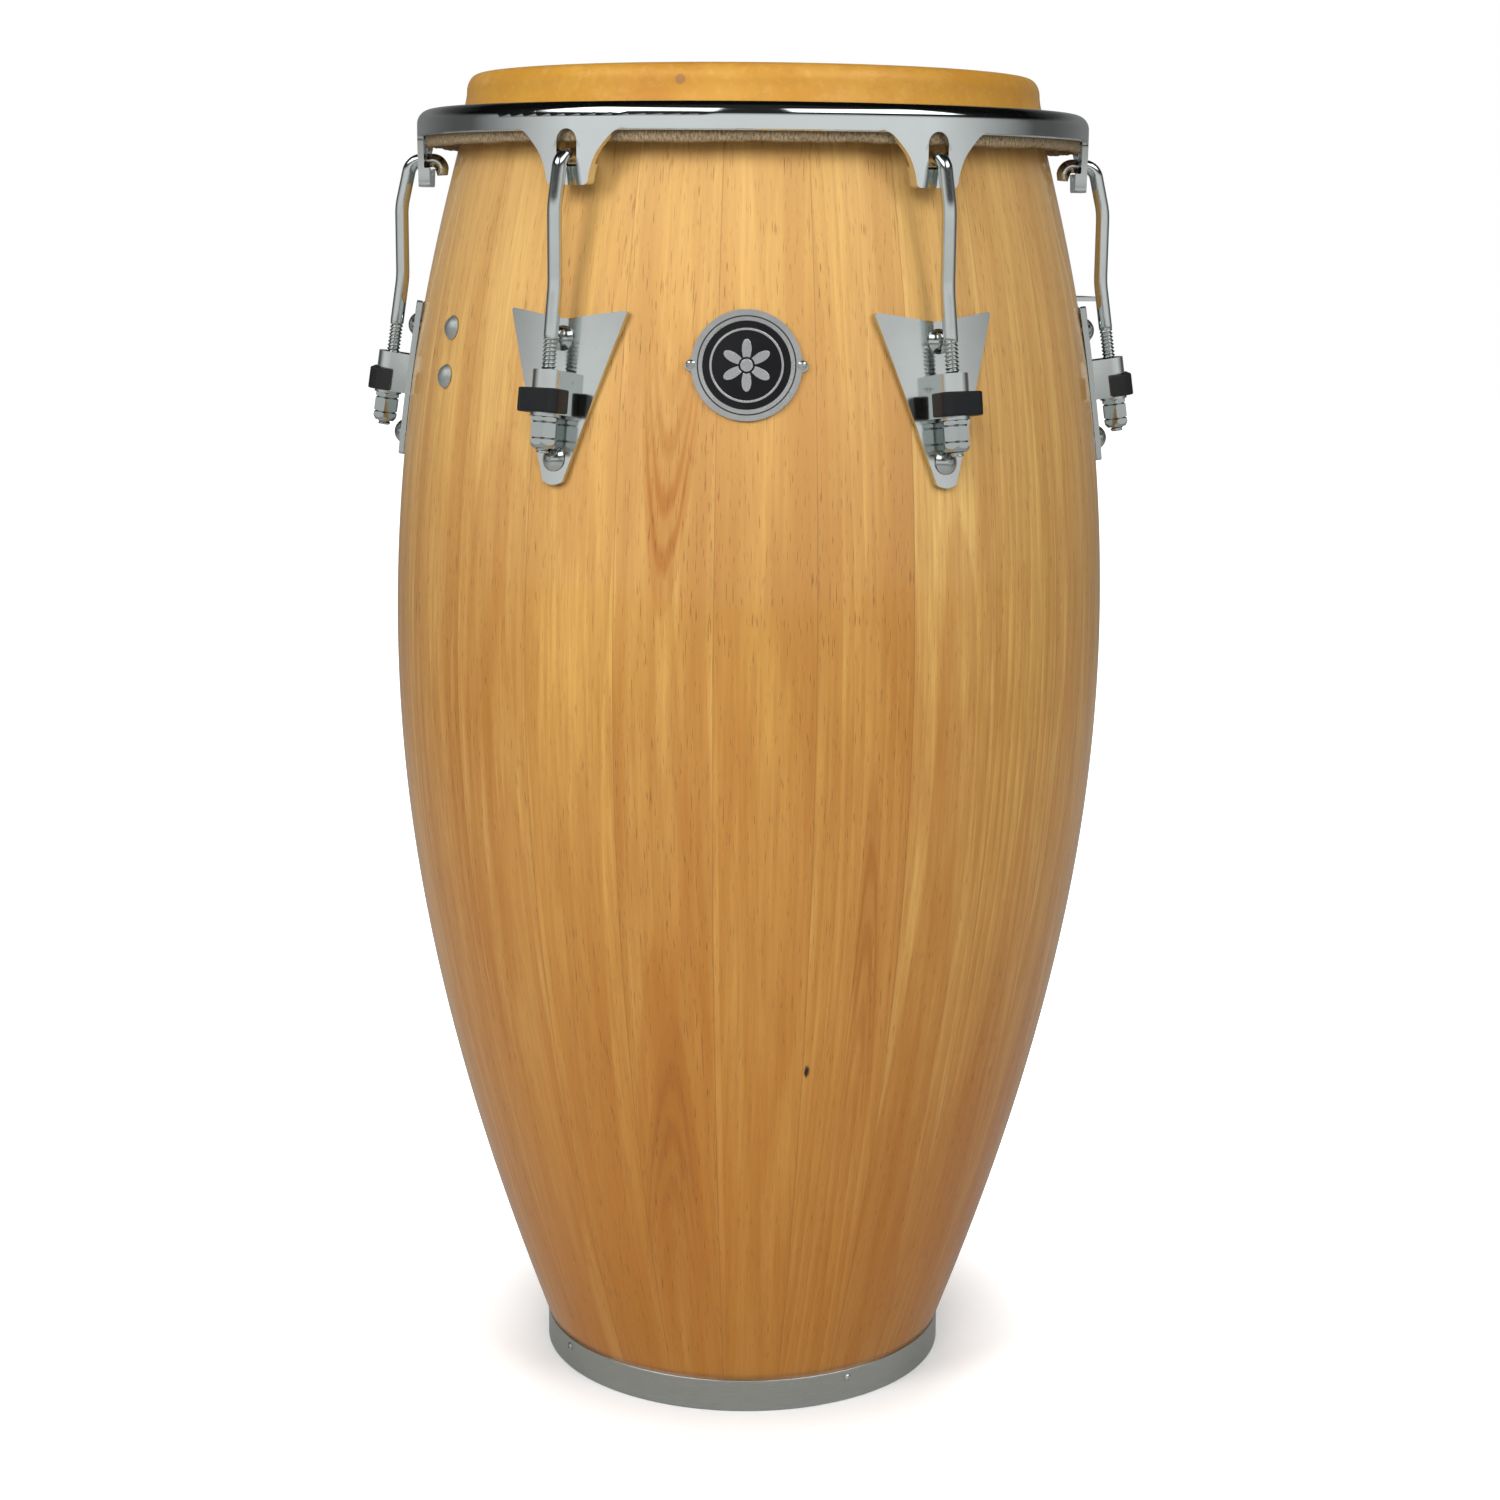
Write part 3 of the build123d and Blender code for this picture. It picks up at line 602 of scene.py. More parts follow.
        # Painted shade and painted light: the staves grow darker and more amber towards the bottom
        # and paler towards the top.
        low = nodes.span(at["height"], 0.46, 0.10, 0.0, 0.58)
        colour = nodes.blend(low, colour, self.bottom_painted_shade)
        high = nodes.span(at["height"], 0.42, 0.70, 0.0, 0.34)
        colour = nodes.blend(high, colour, self.top_painted_light)
        figure = self.figure_mask(nodes, at, fibre)
        colour = nodes.blend(nodes.times(figure, 0.78), colour, self.arch_brown)
        colour = nodes.blend(nodes.times(pores, 0.62), colour, self.pore_brown)
        glue = nodes.span(at["seam"], 0.00045, 0.00010)
        colour = nodes.blend(nodes.times(glue, 0.35), colour, self.glue_brown)
        knot = self.knot_mask(nodes, at)
        colour = nodes.blend(knot, colour, self.knot_black)
        nodes.put(colour, shader.inputs["Base Color"])
        rough = nodes.span(fibre, 0.3, 0.8, 0.30, 0.42)
        nodes.put(nodes.math("MULTIPLY_ADD", pores, 0.15, rough), shader.inputs["Roughness"])
        shader.inputs["Specular IOR Level"].default_value = 0.12
        shader.inputs["Coat Roughness"].default_value = 0.07
        shader.inputs["Coat IOR"].default_value = 1.42
        marks = nodes.group(groups.handling)
        coat = nodes.span(marks.outputs["Smudge"], 0.0, 1.0, 0.68, 0.55)
        nodes.put(coat, shader.inputs["Coat Weight"])
        height = nodes.math("MULTIPLY_ADD", glue, -1.0, nodes.times(pores, -0.5))
        height = nodes.math("MULTIPLY_ADD", fibre, 0.25, height)
        nodes.put(nodes.bump(height, 0.25, 0.0002), shader.inputs["Normal"])
        return material

    def figure_mask(
        self, nodes: Nodes, at: dict[str, Socket], fibre: Socket
    ) -> Socket:
        """The dark arches, striped along curves of q = (side / half width)^2 - drop / length.

        Args:
            nodes: The material's node helper.
            at: The sockets of stave_parts.
            fibre: The fine grain, which frays the stripes.

        Returns:
            The arches' mask.
        """
        mask = 0.0
        for figure in self.figures:
            drop = nodes.times(nodes.minus(figure.tip_height, at["height"]), figure.rise)
            middle = nodes.math("MULTIPLY_ADD", drop, figure.lean, figure.azimuth)
            turn = nodes.math("RADIANS", nodes.minus(at["azimuth"], middle))
            side = nodes.math("DIVIDE", nodes.times(turn, at["radius"]), figure.half_width)
            q = nodes.minus(nodes.times(side, side), nodes.math("DIVIDE", drop, figure.length))
            q = nodes.math("MULTIPLY_ADD", fibre, 0.10, q)
            faded = nodes.span(drop, figure.length, figure.length * 0.4)
            inside = nodes.times(nodes.span(q, 0.06, -0.04), faded)
            stripes = nodes.span(nodes.math("SINE", nodes.times(q, 34.0)), -0.6, 0.8, 0.45, 1.0)
            mask = nodes.math("MAXIMUM", mask, nodes.times(inside, stripes))
        return mask

    def knot_mask(self, nodes: Nodes, at: dict[str, Socket]) -> Socket:
        """A small dark knot: one inside an ellipse 4 mm wide and 9 mm tall, with a ragged edge.

        Args:
            nodes: The material's node helper.
            at: The sockets of stave_parts.

        Returns:
            The knot's mask.
        """
        side = nodes.times(nodes.minus(at["azimuth"], self.knot_azimuth), 3.2 / 2.0)
        up = nodes.times(nodes.minus(at["height"], self.knot_height), 1000 / 4.5)
        reach = nodes.hypot(side, up)
        ragged = nodes.noise(nodes.vector(nodes.times(side, 1.6), up, 0.0), 2.0, 3.0, 0.6)
        return nodes.span(nodes.math("MULTIPLY_ADD", ragged, 1.2, reach), 1.5, 1.1)


@dataclass(frozen=True)
class Rawhide:
    """Scraped hide: golden, mottled and veined, with a fuzzy raw cut edge."""

    name: str = "rawhide"
    raw_edge_height: float = 0.737
    spot_azimuth: float = -13.3
    spot_height: float = 0.7528
    clouds: tuple[Colour, Colour] = ((0.60, 0.315, 0.042, 1), (0.48, 0.215, 0.020, 1))
    fleck: Colour = (0.74, 0.46, 0.16, 1)
    vein: Colour = (0.35, 0.14, 0.04, 1)
    spot: Colour = (0.26, 0.12, 0.06, 1)
    fur: tuple[Colour, Colour] = ((0.10, 0.065, 0.035, 1), (0.42, 0.32, 0.19, 1))

    def build(self, groups: EffectGroups) -> Material:
        """Makes the material.

        Args:
            groups: The shared effect groups.

        Returns:
            The material.
        """
        material, nodes, shader = start_material(self.name)
        place = nodes.place()
        at = nodes.group(groups.cylinder)
        clouds = nodes.noise(place, 16.0, 5.0, 0.62)
        flecks = nodes.noise(place, 150.0, 3.0, 0.6)
        veins = nodes.add("ShaderNodeTexVoronoi", feature="DISTANCE_TO_EDGE")
        warped = nodes.blend(0.12, place, nodes.vector(clouds, flecks, clouds))
        nodes.put(warped, veins.inputs["Vector"])
        veins.inputs["Scale"].default_value = 24.0
        vein = nodes.span(veins.outputs["Distance"], 0.05, 0.0)
        colour = nodes.blend(nodes.span(clouds, 0.32, 0.68), *self.clouds)
        colour = nodes.blend(nodes.span(flecks, 0.52, 0.78, 0.0, 0.25), colour, self.fleck)
        colour = nodes.blend(nodes.times(vein, 0.18), colour, self.vein)
        spot_side = nodes.times(nodes.minus(at.outputs["Azimuth"], self.spot_azimuth), 2.8)
        spot_up = nodes.times(nodes.minus(at.outputs["Height"], self.spot_height), 1000.0)
        reach = nodes.hypot(spot_side, spot_up)
        colour = nodes.blend(nodes.span(reach, 3.2, 2.2, 0.0, 0.7), colour, self.spot)
        edge = self.raw_edge_height
        raw = nodes.span(at.outputs["Height"], edge - 0.001, edge - 0.004)
        along = nodes.times(at.outputs["Azimuth"], 3.0)
        up = nodes.times(at.outputs["Height"], 420.0)
        fur = nodes.noise(nodes.vector(along, 0.0, up), 1.0, 4.0, 0.7)
        raw_colour = nodes.blend(nodes.span(fur, 0.35, 0.62), *self.fur)
        colour = nodes.blend(raw, colour, raw_colour)
        nodes.put(colour, shader.inputs["Base Color"])
        rough = nodes.span(clouds, 0.3, 0.75, 0.36, 0.52)
        rough = nodes.math("MULTIPLY_ADD", raw, 0.4, rough, clamp=True)
        nodes.put(rough, shader.inputs["Roughness"])
        shader.inputs["Coat Roughness"].default_value = 0.28
        nodes.put(nodes.minus(0.22, nodes.times(raw, 0.22)), shader.inputs["Coat Weight"])
        height = nodes.math("MULTIPLY_ADD", flecks, 0.5, nodes.times(clouds, 0.8))
        height = nodes.math("MULTIPLY_ADD", nodes.times(fur, raw), 3.0, height)
        height = nodes.math("MULTIPLY_ADD", vein, 0.3, height)
        nodes.put(nodes.bump(height, 0.35, 0.0006), shader.inputs["Normal"])
        return material


@dataclass(frozen=True)
class MattRubber:
    """Black moulded rubber, dusty in its pores, with its convex edges painted lighter, for wear and
    as painted sheen where it is rubbed.
    """

    name: str = "bumper_rubber"

    def build(self, groups: EffectGroups) -> Material:
        """Makes the material.

        Args:
            groups: The shared effect groups.

        Returns:
            The material.
        """
        material, nodes, shader = start_material(self.name)
        place = nodes.place()
        marks = nodes.group(groups.handling)
        grain = nodes.noise(place, 900.0, 3.0, 0.6)
        dust = nodes.times(marks.outputs["Smudge"], 0.5)
        colour = nodes.blend(dust, (0.005, 0.006, 0.007, 1), (0.014, 0.014, 0.014, 1))
        # Convex edges painted lighter: partly wear, partly painted sheen.
        wear_and_sheen = nodes.times(marks.outputs["Edge"], 0.5)
        colour = nodes.blend(wear_and_sheen, colour, (0.030, 0.030, 0.030, 1))
        nodes.put(colour, shader.inputs["Base Color"])
        nodes.put(nodes.span(grain, 0.3, 0.7, 0.40, 0.56), shader.inputs["Roughness"])
        shader.inputs["Specular IOR Level"].default_value = 0.3
        nodes.put(nodes.bump(grain, 0.3, 0.0001), shader.inputs["Normal"])
        return material


@dataclass(frozen=True)
class BadgeEnamel:
    """Black enamel with a plain six-petal flower and a ring in silver."""

    name: str = "badge_field"
    petal: float = 0.0135
    ring: float = 0.0185
    blacks: tuple[Colour, Colour] = ((0.006, 0.006, 0.007, 1), (0.016, 0.016, 0.017, 1))
    silver: Colour = (0.70, 0.71, 0.73, 1)

    def build(self, groups: EffectGroups) -> Material:
        """Makes the material, drawn in the badge's own plane.

        Args:
            groups: The shared effect groups.

        Returns:
            The material.
        """
        material, nodes, shader = start_material(self.name)
        reach, turn = badge_reach(nodes, "badge_inlay")
        # A petal ends where the reach meets the petal length times |cos 3t|.
        lobe = nodes.math("ABSOLUTE", nodes.math("COSINE", nodes.times(turn, 3.0)))
        lobe = nodes.times(lobe, self.petal)
        petals = nodes.span(nodes.minus(lobe, reach), 0.0, 0.0003)
        eye = nodes.span(reach, 0.0033, 0.0030)
        hole = nodes.span(reach, 0.0042, 0.0045)
        petals = nodes.times(petals, hole)
        off_ring = nodes.math("ABSOLUTE", nodes.minus(reach, self.ring))
        ring = nodes.span(off_ring, 0.0006, 0.0004)
        silver = nodes.math("MAXIMUM", nodes.math("MAXIMUM", petals, ring), eye)
        marks = nodes.group(groups.handling)
        black = nodes.blend(marks.outputs["Smudge"], *self.blacks)
        nodes.put(nodes.blend(silver, black, self.silver), shader.inputs["Base Color"])
        nodes.put(silver, shader.inputs["Metallic"])
        gloss = nodes.math("MULTIPLY_ADD", marks.outputs["Smudge"], 0.12, 0.16)
        nodes.put(nodes.math("MULTIPLY_ADD", silver, 0.08, gloss), shader.inputs["Roughness"])
        shader.inputs["Specular IOR Level"].default_value = 0.2
        nodes.put(nodes.bump(silver, 0.5, 0.0002), shader.inputs["Normal"])
        return material


def dress(node: str, material: Material) -> None:
    """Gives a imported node's object one material in every slot, and logs it."""
    piece = FRAME["nodes"][node]
    if not piece.material_slots:
        piece.data.materials.append(material)
    for slot in piece.material_slots:
        slot.material = material
    LOG.info("%s wears %s", node, material.name)


# ---------------------------------------------------------------- sub-assemblies
SEAM = 1e-6
END_ROUND = 0.0012


@dataclass
class Shell:
    """The wooden shell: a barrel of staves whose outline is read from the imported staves."""

    around: int = 384
    up: int = 132
    inside_up: int = 36
    finish: LacqueredWood = field(default_factory=LacqueredWood)

    def outline(self) -> np.ndarray:
        """The closed outline of the wall as (radius, height) pairs, outside up and inside down.

        The outside is an eighth-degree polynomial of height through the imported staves' outermost
        points, and the inside is another through their innermost.

        Returns:
            An (n, 2) array of points.
        """
        mesh = FRAME["nodes"]["shell_staves"].data
        flat = np.empty(len(mesh.vertices) * 3)
        mesh.vertices.foreach_get("co", flat)
        x, y, z = flat.reshape(-1, 3).T
        radius = np.hypot(x, y)
        levels = np.linspace(z.min(), z.max(), 90)
        band = np.digitize(z, levels)
        tags = [t for t in np.unique(band) if np.ptp(radius[band == t]) > 0.006]
        rings = [(z[band == t], radius[band == t]) for t in tags]
        outer = np.array([(level[r.argmax()], r.max()) for level, r in rings])
        inner = np.array([(level[r.argmin()], r.min()) for level, r in rings])
        outer = outer[(outer[:, 0] > 0.0188) & (outer[:, 0] < 0.7502)]
        inner = inner[(inner[:, 0] > 0.004) & (inner[:, 0] < 0.757)]
        outside = np.polynomial.Polynomial.fit(outer[:, 0], outer[:, 1], 8)
        inside = np.polynomial.Polynomial.fit(inner[:, 0], inner[:, 1], 8)
        z_out = np.linspace(0.019, 0.750, self.up)
        z_in = np.linspace(0.757, 0.003, self.inside_up)
        edge = [[outside(0.750), 0.750], [0.1585, 0.7568], [0.1545, 0.7592], [0.150, 0.7592]]
        top = smooth_path(np.array(edge), 2)
        foot = np.array([[0.1035, 0.0022], [0.1135, 0.0022], [0.1189, 0.016], [0.1193, 0.0187]])
        wall = np.stack([outside(z_out), z_out], -1)
        back = np.stack([inside(z_in), z_in], -1)
        return np.concatenate([wall, top[1:], back, foot])

    def build(self, groups: EffectGroups) -> None:
        """Makes the shell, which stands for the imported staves."""
        outline = self.outline()
        points = lathe(outline, self.around)
        piece = mesh_piece("shell", points, grid_faces(len(outline), self.around, True, True))
        piece.data.materials.append(self.finish.build(groups))
        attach(piece, Body.DRUM.value)
        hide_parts("shell_staves")
        LOG.info("shell of %d points", len(piece.data.vertices))


@dataclass
class Head:
    """The rawhide head: a membrane, a collar over the bearing edge and a tuck round the hoop."""

    around: int = 480
    top: float = 0.762
    thickness: float = 0.0025
    fold_start: float = 0.7500
    fold_end: float = 0.7368
    finish: Rawhide = field(default_factory=Rawhide)

    def outline(self) -> np.ndarray:
        """The closed section of the hide as (radius, height) pairs, from the top's centre and back.

        Returns:
            An (n, 2) array of points.
        """
        flat = np.array([[r, self.top] for r in (0.0, 0.02, 0.05, 0.08, 0.11, 0.135, 0.148)])
        collar = smooth_path(
            np.array([
                [0.1515, 0.762], [0.1592, 0.7612], [0.1630, 0.7555],
                [0.1632, 0.749], [0.1650, 0.742], [0.1663, 0.7372],
            ]),
            3,
        )
        tuck = smooth_path(
            np.array([
                [0.1668, 0.7360], [0.1700, 0.7358], [0.1785, 0.7362], [0.1850, 0.7340],
                [0.1871, 0.7290], [0.1868, 0.7240], [0.1862, 0.7212], [0.1838, 0.7206],
                [0.1818, 0.7222], [0.1800, 0.7244], [0.1760, 0.7240], [0.1735, 0.7262],
                [0.1728, 0.7310], [0.1690, 0.7338],
            ]),
            2,
        )
        under = smooth_path(
            np.array([
                [0.1645, 0.7372], [0.1626, 0.742], [0.1607, 0.749],
                [0.1600, 0.7550], [0.1575, 0.7592], [0.1515, 0.7595],
            ]),
            2,
        )
        back = np.array([[r, self.top - self.thickness] for r in (0.148, 0.11, 0.05, 0.0)])
        return np.concatenate([flat, collar, tuck, under, back])

    def build(self, groups: EffectGroups) -> None:
        """Makes the hide, with a ragged cut edge, running from over the shell's edge down to the
        crown.
        """
        outline = self.outline()
        azimuth = np.arange(self.around) * FULL_TURN / self.around
        waves = [(7, 0.4, 0.35), (19, 1.9, 0.25), (47, 0.7, 0.2), (113, 2.6, 0.16)]
        ragged = sum(size * np.sin(count * azimuth + phase) for count, phase, size in waves) * 0.001
        cut = np.clip((0.7285 - outline[:, 1]) / 0.007, 0, 1) * (outline[:, 0] > 0.1795)
        wobble = np.zeros((len(outline), self.around, 2))
        wobble[..., 1] = cut[:, None] * np.clip(ragged, -0.0004, 0.0012)[None, :]
        wobble[..., 0] = cut[:, None] * np.clip(np.roll(ragged, 31), -0.001, 0.0004)[None, :] * 0.6
        points = lathe(outline, self.around, wobble)
        faces = grid_faces(len(outline), self.around, False, True)
        piece = mesh_piece("head_hide", points, faces, merge=SEAM)
        piece.data.materials.append(self.finish.build(groups))
        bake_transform(piece)
        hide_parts("head_skin", "hide_tuck")
        LOG.info("head of %d points", len(piece.data.vertices))


@dataclass
class TensionRods:
    """Six bent rods with a rolled thread at the foot, each along its own lug."""

    lugs: int = 6
    first_azimuth: float = -30.0
    lean: float = 8.45
    radius: float = 0.00386
    axis_r: float = 0.210878
    axis_z: float = 0.591646
    tip_below: float = 0.0292
    drop_r: float = 0.2025
    drop_z: float = 0.688
    shoulder_r: float = 0.1966
    hook_z: float = 0.71395
    hook_in_r: float = 0.1792
    tail: tuple[float, float] = (0.1786, 0.7056)
    bends: tuple[float, ...] = (0.060, 0.040, 0.008, 0.005)
    thread: float = 0.060
    pitch: float = 0.0021
    depth: float = 0.0011
    sides: int = 28

    def path(self) -> np.ndarray:
        """The rod's centre line as (radius, height): straight runs joined by tangent arcs.

        Each arc starts and ends at bend radius times tan(half the turn) from its corner.

        Returns:
            An (n, 2) array of points from the tip to the tail.
        """
        lean = math.radians(self.lean)
        tip_r = self.axis_r + self.tip_below * math.sin(lean)
        tip_z = self.axis_z - self.tip_below * math.cos(lean)
        bend_z = self.axis_z + (self.axis_r - self.drop_r) / math.tan(lean)
        corners = np.array([
            (tip_r, tip_z), (self.drop_r, bend_z), (self.drop_r, self.drop_z),
            (self.shoulder_r, self.hook_z), (self.hook_in_r, self.hook_z), self.tail,
        ])
        line = [corners[:1]]
        for before, corner, after, radius in zip(corners, corners[1:], corners[2:], self.bends):
            a, b = before - corner, after - corner
            a, b = a / np.linalg.norm(a), b / np.linalg.norm(b)
            half = math.acos(float(np.clip(-a @ b, -1, 1))) / 2
            t = np.linspace(-1, 1, 11 if radius > 0.01 else 25)[:, None] * half
            middle = (a + b) / np.linalg.norm(a + b)
            side = (b - a) / np.linalg.norm(b - a)
            centre = corner + middle * radius / math.cos(half)
            line.append(centre - middle * radius * np.cos(t) + side * radius * np.sin(t))
        line.append(corners[-1:])
        return np.concatenate(line)

    def tube(self) -> np.ndarray:
        """A tube along the path at azimuth 0, whose thread is a helix cut into its foot.

        At length s and angle t the radius is the rod's, less the thread's depth times a V-shaped
        wave of s / pitch - t / 2 pi. The tip and the tail close to a slightly domed end.

        Returns:
            An (n, sides, 3) array of points.
        """
        line = self.path()
        lengths = np.concatenate([[0], np.cumsum(np.linalg.norm(np.diff(line, axis=0), axis=1))])
        threaded = np.arange(0, self.thread, self.pitch / 6)
        bent = lengths[lengths > self.thread + 0.002][:-1]
        straight = np.arange(self.thread + 0.001, lengths[-1], 0.006)
        s = np.unique(np.concatenate([threaded, bent, straight, [lengths[-1]]]))
        centre = np.stack([np.interp(s, lengths, column) for column in line.T], -1)
        ahead = np.gradient(centre, s, axis=0)
        ahead /= np.linalg.norm(ahead, axis=1)[:, None]
        turn = np.arange(self.sides) * FULL_TURN / self.sides
        wave = np.abs(2 * ((s[:, None] / self.pitch - turn[None, :] / FULL_TURN) % 1) - 1)
        fade = np.clip((self.thread - s) / 0.002, 0, 1) * np.clip(s / END_ROUND, 0, 1)
        radius = self.radius - self.depth * fade[:, None] * (1 - wave)
        ends = np.minimum(s, lengths[-1] - s)
        radius = radius * (1 - 0.22 * np.clip(1 - ends / END_ROUND, 0, 1)[:, None] ** 2)
        out = np.stack([ahead[:, 1], -ahead[:, 0]], -1)
        r = centre[:, :1] + out[:, :1] * radius * np.cos(turn)
        z = centre[:, 1:] + out[:, 1:] * radius * np.cos(turn)
        points = np.stack([radius * np.sin(turn), -r, z], -1)
        caps = [np.broadcast_to(points[i].mean(0), (1, self.sides, 3)) for i in (0, -1)]
        return np.concatenate([caps[0], points, caps[1]])

    def build(self, material: Material) -> None:
        """Makes the six rods, each standing for its packed rod.

        Args:
            material: The rods' finish.
        """
        tube = self.tube()
        for k in range(1, self.lugs + 1):
            azimuth = math.radians(self.first_azimuth + (k - 1) * 360 / self.lugs)
            spin = np.array(Matrix.Rotation(azimuth, 3, "Z"))
            points = tube @ spin.T
            faces = grid_faces(len(tube), self.sides, False, True)
            piece = mesh_piece(f"rod_{k}", points, faces, merge=SEAM)
            piece.data.materials.append(material)
            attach(piece, f"rod_{k}")
            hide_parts(f"tension_rod_{k}")
            LOG.info("rod %d of %d points", k, len(piece.data.vertices))


@dataclass
class Hardware:
    """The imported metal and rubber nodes, which keep their meshes and get finishes."""

    lugs: int = 6

    def dress(self, groups: EffectGroups) -> Material:
        """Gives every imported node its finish.

        Args:
            groups: The shared effect groups.

        Returns:
            The rods' chrome.
        """
        even, round_axis = GrainKind.EVEN, GrainKind.ROUND_THE_AXIS
        metals = (
            PolishedMetal("rim_chrome", (0.71, 0.755, 0.75), 0.05, 0.04),
            PolishedMetal("plate_chrome", (0.62, 0.66, 0.65), 0.07, 0.08),
            PolishedMetal("rod_chrome", (0.60, 0.64, 0.63), 0.12, 0.07),
            PolishedMetal("nut_chrome", (0.47, 0.51, 0.50), 0.09, 0.08),
            PolishedMetal("bolt_chrome", (0.55, 0.59, 0.58), 0.12, 0.10, satin_azimuth=-58.3),
            PolishedMetal("zinc", (0.55, 0.57, 0.60), 0.30, 0.15),
            PolishedMetal("small_screws", (0.56, 0.59, 0.57), 0.22, 0.10),
            PolishedMetal("hoop_steel", (0.42, 0.42, 0.43), 0.30, 0.15),
            PolishedMetal("badge_metal", (0.74, 0.76, 0.75), 0.22, 0.10, even, ring_line=0.0252),
            PolishedMetal("ring_steel", (0.58, 0.62, 0.60), 0.30, 0.10, round_axis),
        )
        rim, plate, rod, nut, bolt, zinc, screw, hoop, badge, ring = (
            metal.build(groups) for metal in metals
        )
        rubber = MattRubber().build(groups)
        enamel = BadgeEnamel().build(groups)
        singles = {
            "crown_rim": rim, "flesh_hoop": hoop, "stand_bracket": plate,
            "shell_bolts": bolt, "shell_bolt_washers": zinc, "shell_bolt_nuts": zinc,
            "tuning_washers": bolt, "bottom_ring": ring, "bottom_ring_screws": screw,
            "badge_screws": screw, "badge_plate": badge, "badge_inlay": enamel,
        }
        for node, material in singles.items():
            dress(node, material)
        for k in range(1, self.lugs + 1):
            dress(f"side_plate_{k}", plate)
            dress(f"bumper_{k}", rubber)
            dress(f"tuning_nut_{k}", nut)
        return rod


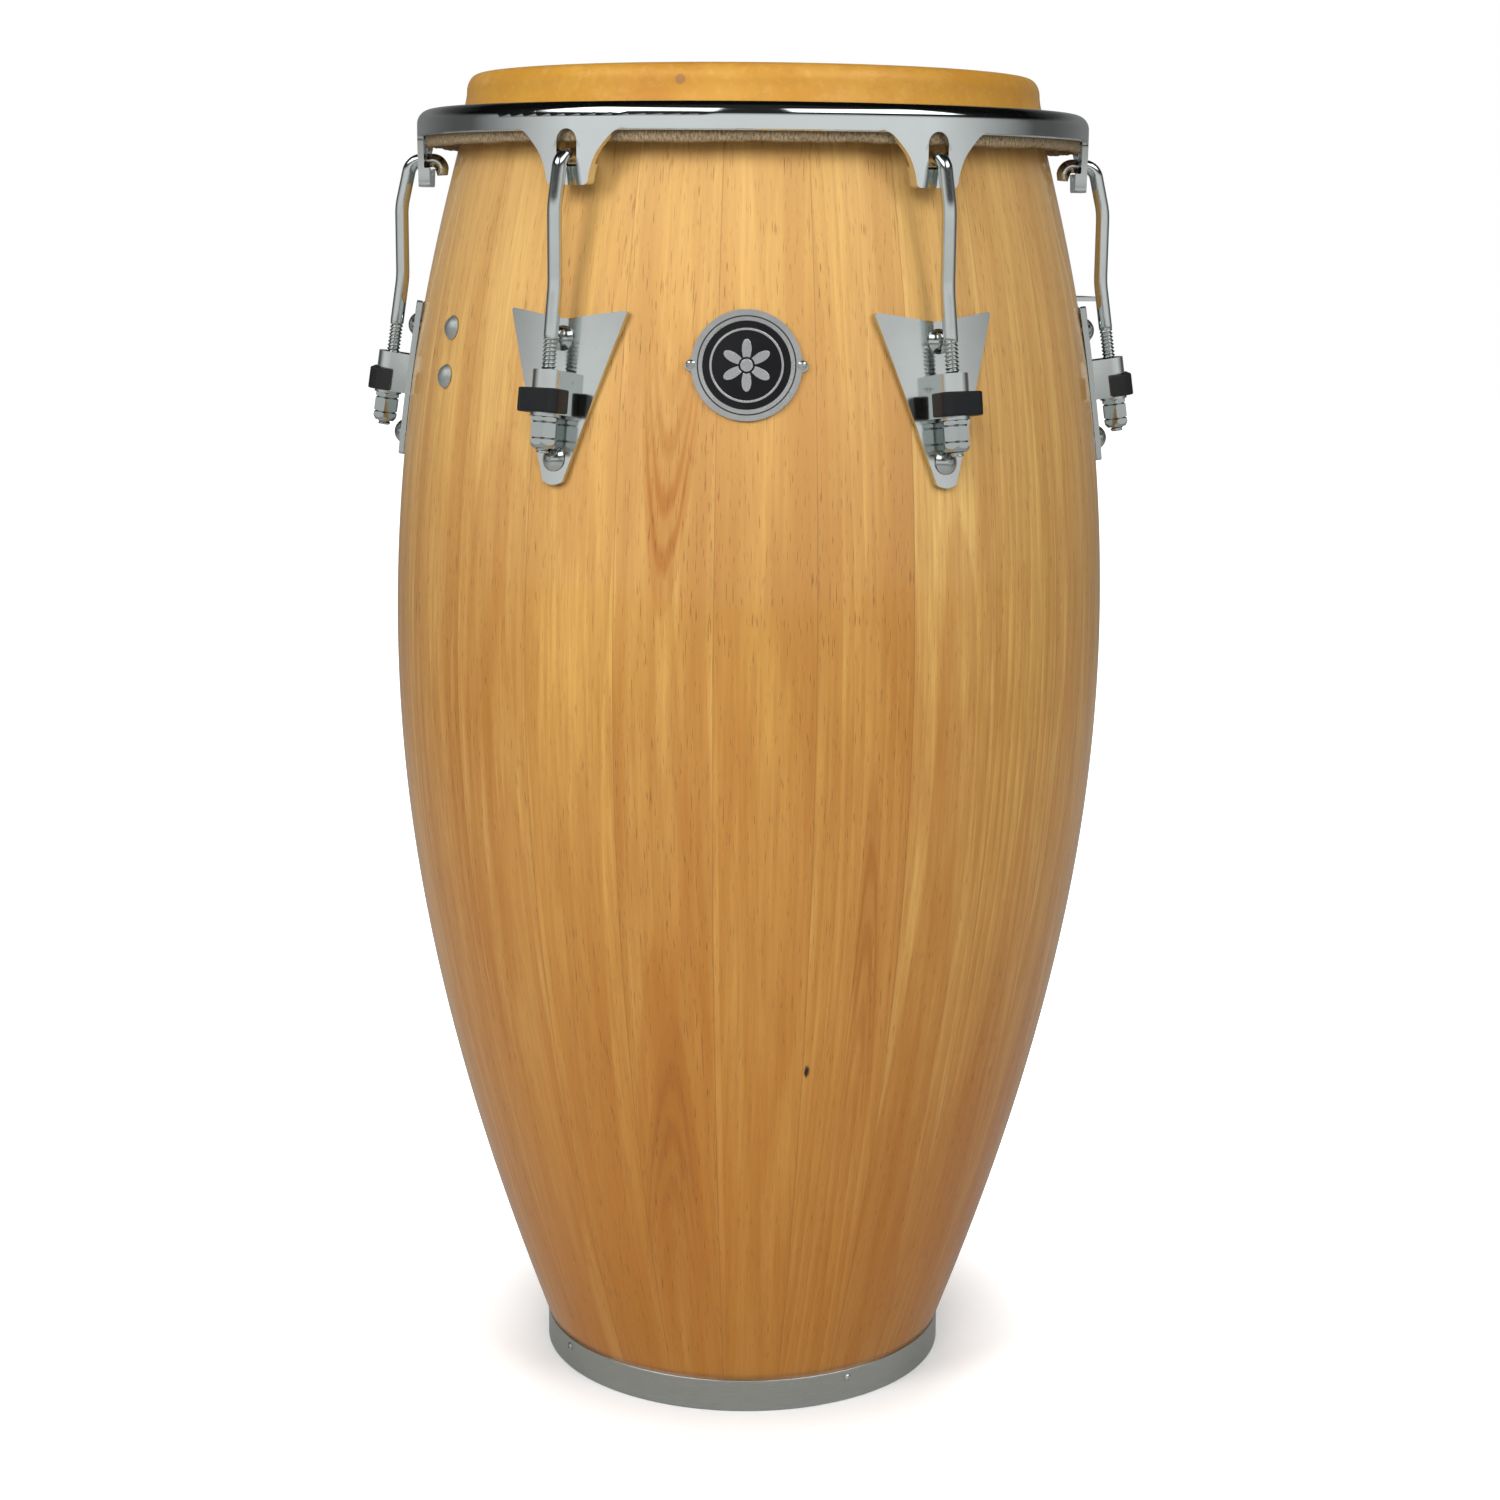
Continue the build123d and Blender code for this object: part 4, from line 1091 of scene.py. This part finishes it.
@dataclass
class Studio:
    """A white floor, soft lights on both sides and the camera."""

    pitch_down: float = 11.347
    roll: float = 0.521
    lens: float = 63.38
    place: tuple[float, float, float] = (0.0015, -1.557, 0.682)
    floor_half: float = 9.0
    floor_lift: tuple[float, float] = (0.05, 1.0)
    pale_wall: float = 0.82
    dark_ceiling: float = 0.02
    panel_glow: float = 3.0
    fill: float = 0.31

    def set_camera(self) -> None:
        """Adds the camera: level at +Y, pitched down, then rolled about its own line of sight."""
        data = bpy.data.cameras.new("camera")
        data.lens, data.sensor_width, data.clip_start = self.lens, 36.0, 0.02
        camera = bpy.data.objects.new("camera", data)
        bpy.context.scene.collection.objects.link(camera)
        tilt = Matrix.Rotation(math.radians(90 - self.pitch_down), 4, "X")
        roll = Matrix.Rotation(math.radians(self.roll), 4, "Z")
        camera.matrix_world = Matrix.Translation(self.place) @ tilt @ roll
        bpy.context.scene.camera = camera

    def add_light(
        self,
        name: str,
        place: tuple[float, float, float],
        aim: tuple[float, float, float],
        size: tuple[float, float],
        power: float,
    ) -> None:
        """Adds one rectangular soft light.

        Args:
            name: The light's name.
            place: Its centre.
            aim: The point that it faces.
            size: Its width and height.
            power: Its power in watts.
        """
        data = bpy.data.lights.new(name, "AREA")
        data.shape, data.size, data.size_y, data.energy = "RECTANGLE", size[0], size[1], power
        light = bpy.data.objects.new(name, data)
        bpy.context.scene.collection.objects.link(light)
        light.location = place
        light.visible_glossy = False
        light.rotation_euler = (Vector(aim) - Vector(place)).to_track_quat("-Z", "Y").to_euler()

    def add_floor(self) -> None:
        """Adds the pale floor, a flat square grid whose finish is nearly white paper."""
        side = np.linspace(-self.floor_half, self.floor_half, 3)
        x, y = np.meshgrid(side, side)
        points = np.stack([x, y, np.full_like(x, -0.0002)], -1)
        floor = mesh_piece("floor", points, grid_faces(3, 3, False, False))
        material, nodes, shader = start_material("floor_paper")
        place = nodes.place()
        fibre = nodes.noise(place, 300.0, 3.0, 0.6)
        seen = nodes.add("ShaderNodeLightPath").outputs["Is Camera Ray"]
        paper = nodes.blend(fibre, (0.93, 0.93, 0.93, 1), (0.95, 0.95, 0.95, 1))
        nodes.put(nodes.blend(seen, (0.45, 0.45, 0.44, 1), paper), shader.inputs["Base Color"])
        shader.inputs["Emission Color"].default_value = (1, 1, 1, 1)
        reach = nodes.add("ShaderNodeVectorMath", operation="LENGTH")
        nodes.put(place, reach.inputs[0])
        lift = nodes.span(reach.outputs["Value"], 0.12, 0.28, *self.floor_lift)
        nodes.put(nodes.times(seen, lift), shader.inputs["Emission Strength"])
        shader.inputs["Roughness"].default_value = 0.9
        shader.inputs["Specular IOR Level"].default_value = 0.0
        floor.data.materials.append(material)
        if floor.data.polygons[0].normal.z < 0:
            floor.data.flip_normals()

    def set_world(self) -> None:
        """Sets the surroundings: white to the camera, and a studio of soft panels to the metal."""
        world = bpy.data.worlds.new("studio")
        world.use_nodes = True
        bpy.context.scene.world = world
        nodes = Nodes(world.node_tree)
        background = world.node_tree.nodes["Background"]
        x, y, z = nodes.split(nodes.add("ShaderNodeTexCoord").outputs["Generated"])
        azimuth = nodes.math("DEGREES", nodes.math("ARCTAN2", x, nodes.times(y, -1.0)))
        side = nodes.math("ABSOLUTE", azimuth)
        height = nodes.math("DEGREES", nodes.math("ARCSINE", z))
        wall = nodes.span(height, 22.0, 13.0, self.dark_ceiling, self.pale_wall)
        wall = nodes.times(wall, nodes.span(side, 62.0, 108.0, 1.0, 0.12))
        across = nodes.times(nodes.span(side, 13.0, 16.0), nodes.span(side, 85.0, 78.0))
        upward = nodes.times(nodes.span(height, 31.0, 35.0), nodes.span(height, 60.0, 52.0))
        panels = nodes.times(nodes.times(across, upward), self.panel_glow)
        behind = nodes.times(nodes.span(side, 120.0, 150.0), nodes.span(height, 35.0, 20.0))
        mirrored = nodes.math("MULTIPLY_ADD", behind, 0.10, nodes.plus(wall, panels))
        seen = nodes.add("ShaderNodeLightPath")
        glossy, diffuse = seen.outputs["Is Glossy Ray"], seen.outputs["Is Diffuse Ray"]
        strength = nodes.choose(glossy, 1.0, mirrored, "white, or the room in the metal")
        lit = nodes.choose(diffuse, strength, self.fill, "or the light that fills the shadows")
        nodes.put(lit, background.inputs["Strength"])
        background.inputs["Color"].default_value = (1, 1, 1, 1)

    def build(self) -> None:
        """Makes the whole studio."""
        scene = bpy.context.scene
        scene.view_settings.view_transform = "Standard"
        self.set_camera()
        self.set_world()
        self.add_floor()
        self.add_light("left_panel", (-1.25, -1.35, 1.35), (0, 0, 0.5), (0.6, 1.0), 19)
        self.add_light("right_panel", (1.25, -1.35, 1.35), (0, 0, 0.5), (0.6, 1.0), 12)
        self.add_light("front_panel", (-0.15, -2.3, 1.7), (0, 0, 0.6), (1.2, 0.9), 22)
        self.add_light("top_panel", (0.0, -0.2, 2.4), (0, 0, 0.3), (1.6, 1.2), 6)
        self.add_light("back_panel", (0.2, 2.1, 1.5), (0, 0, 0.4), (1.4, 1.2), 13)


def main() -> None:
    """Builds the studio and every piece in order."""
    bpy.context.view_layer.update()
    groups = EffectGroups()
    Studio().build()
    Shell().build(groups)
    Head().build(groups)
    rod = Hardware().dress(groups)
    TensionRods().build(rod)


if __name__ == "__main__":
    logging.basicConfig(level=logging.INFO, format="%(message)s")
    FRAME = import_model()
    main()
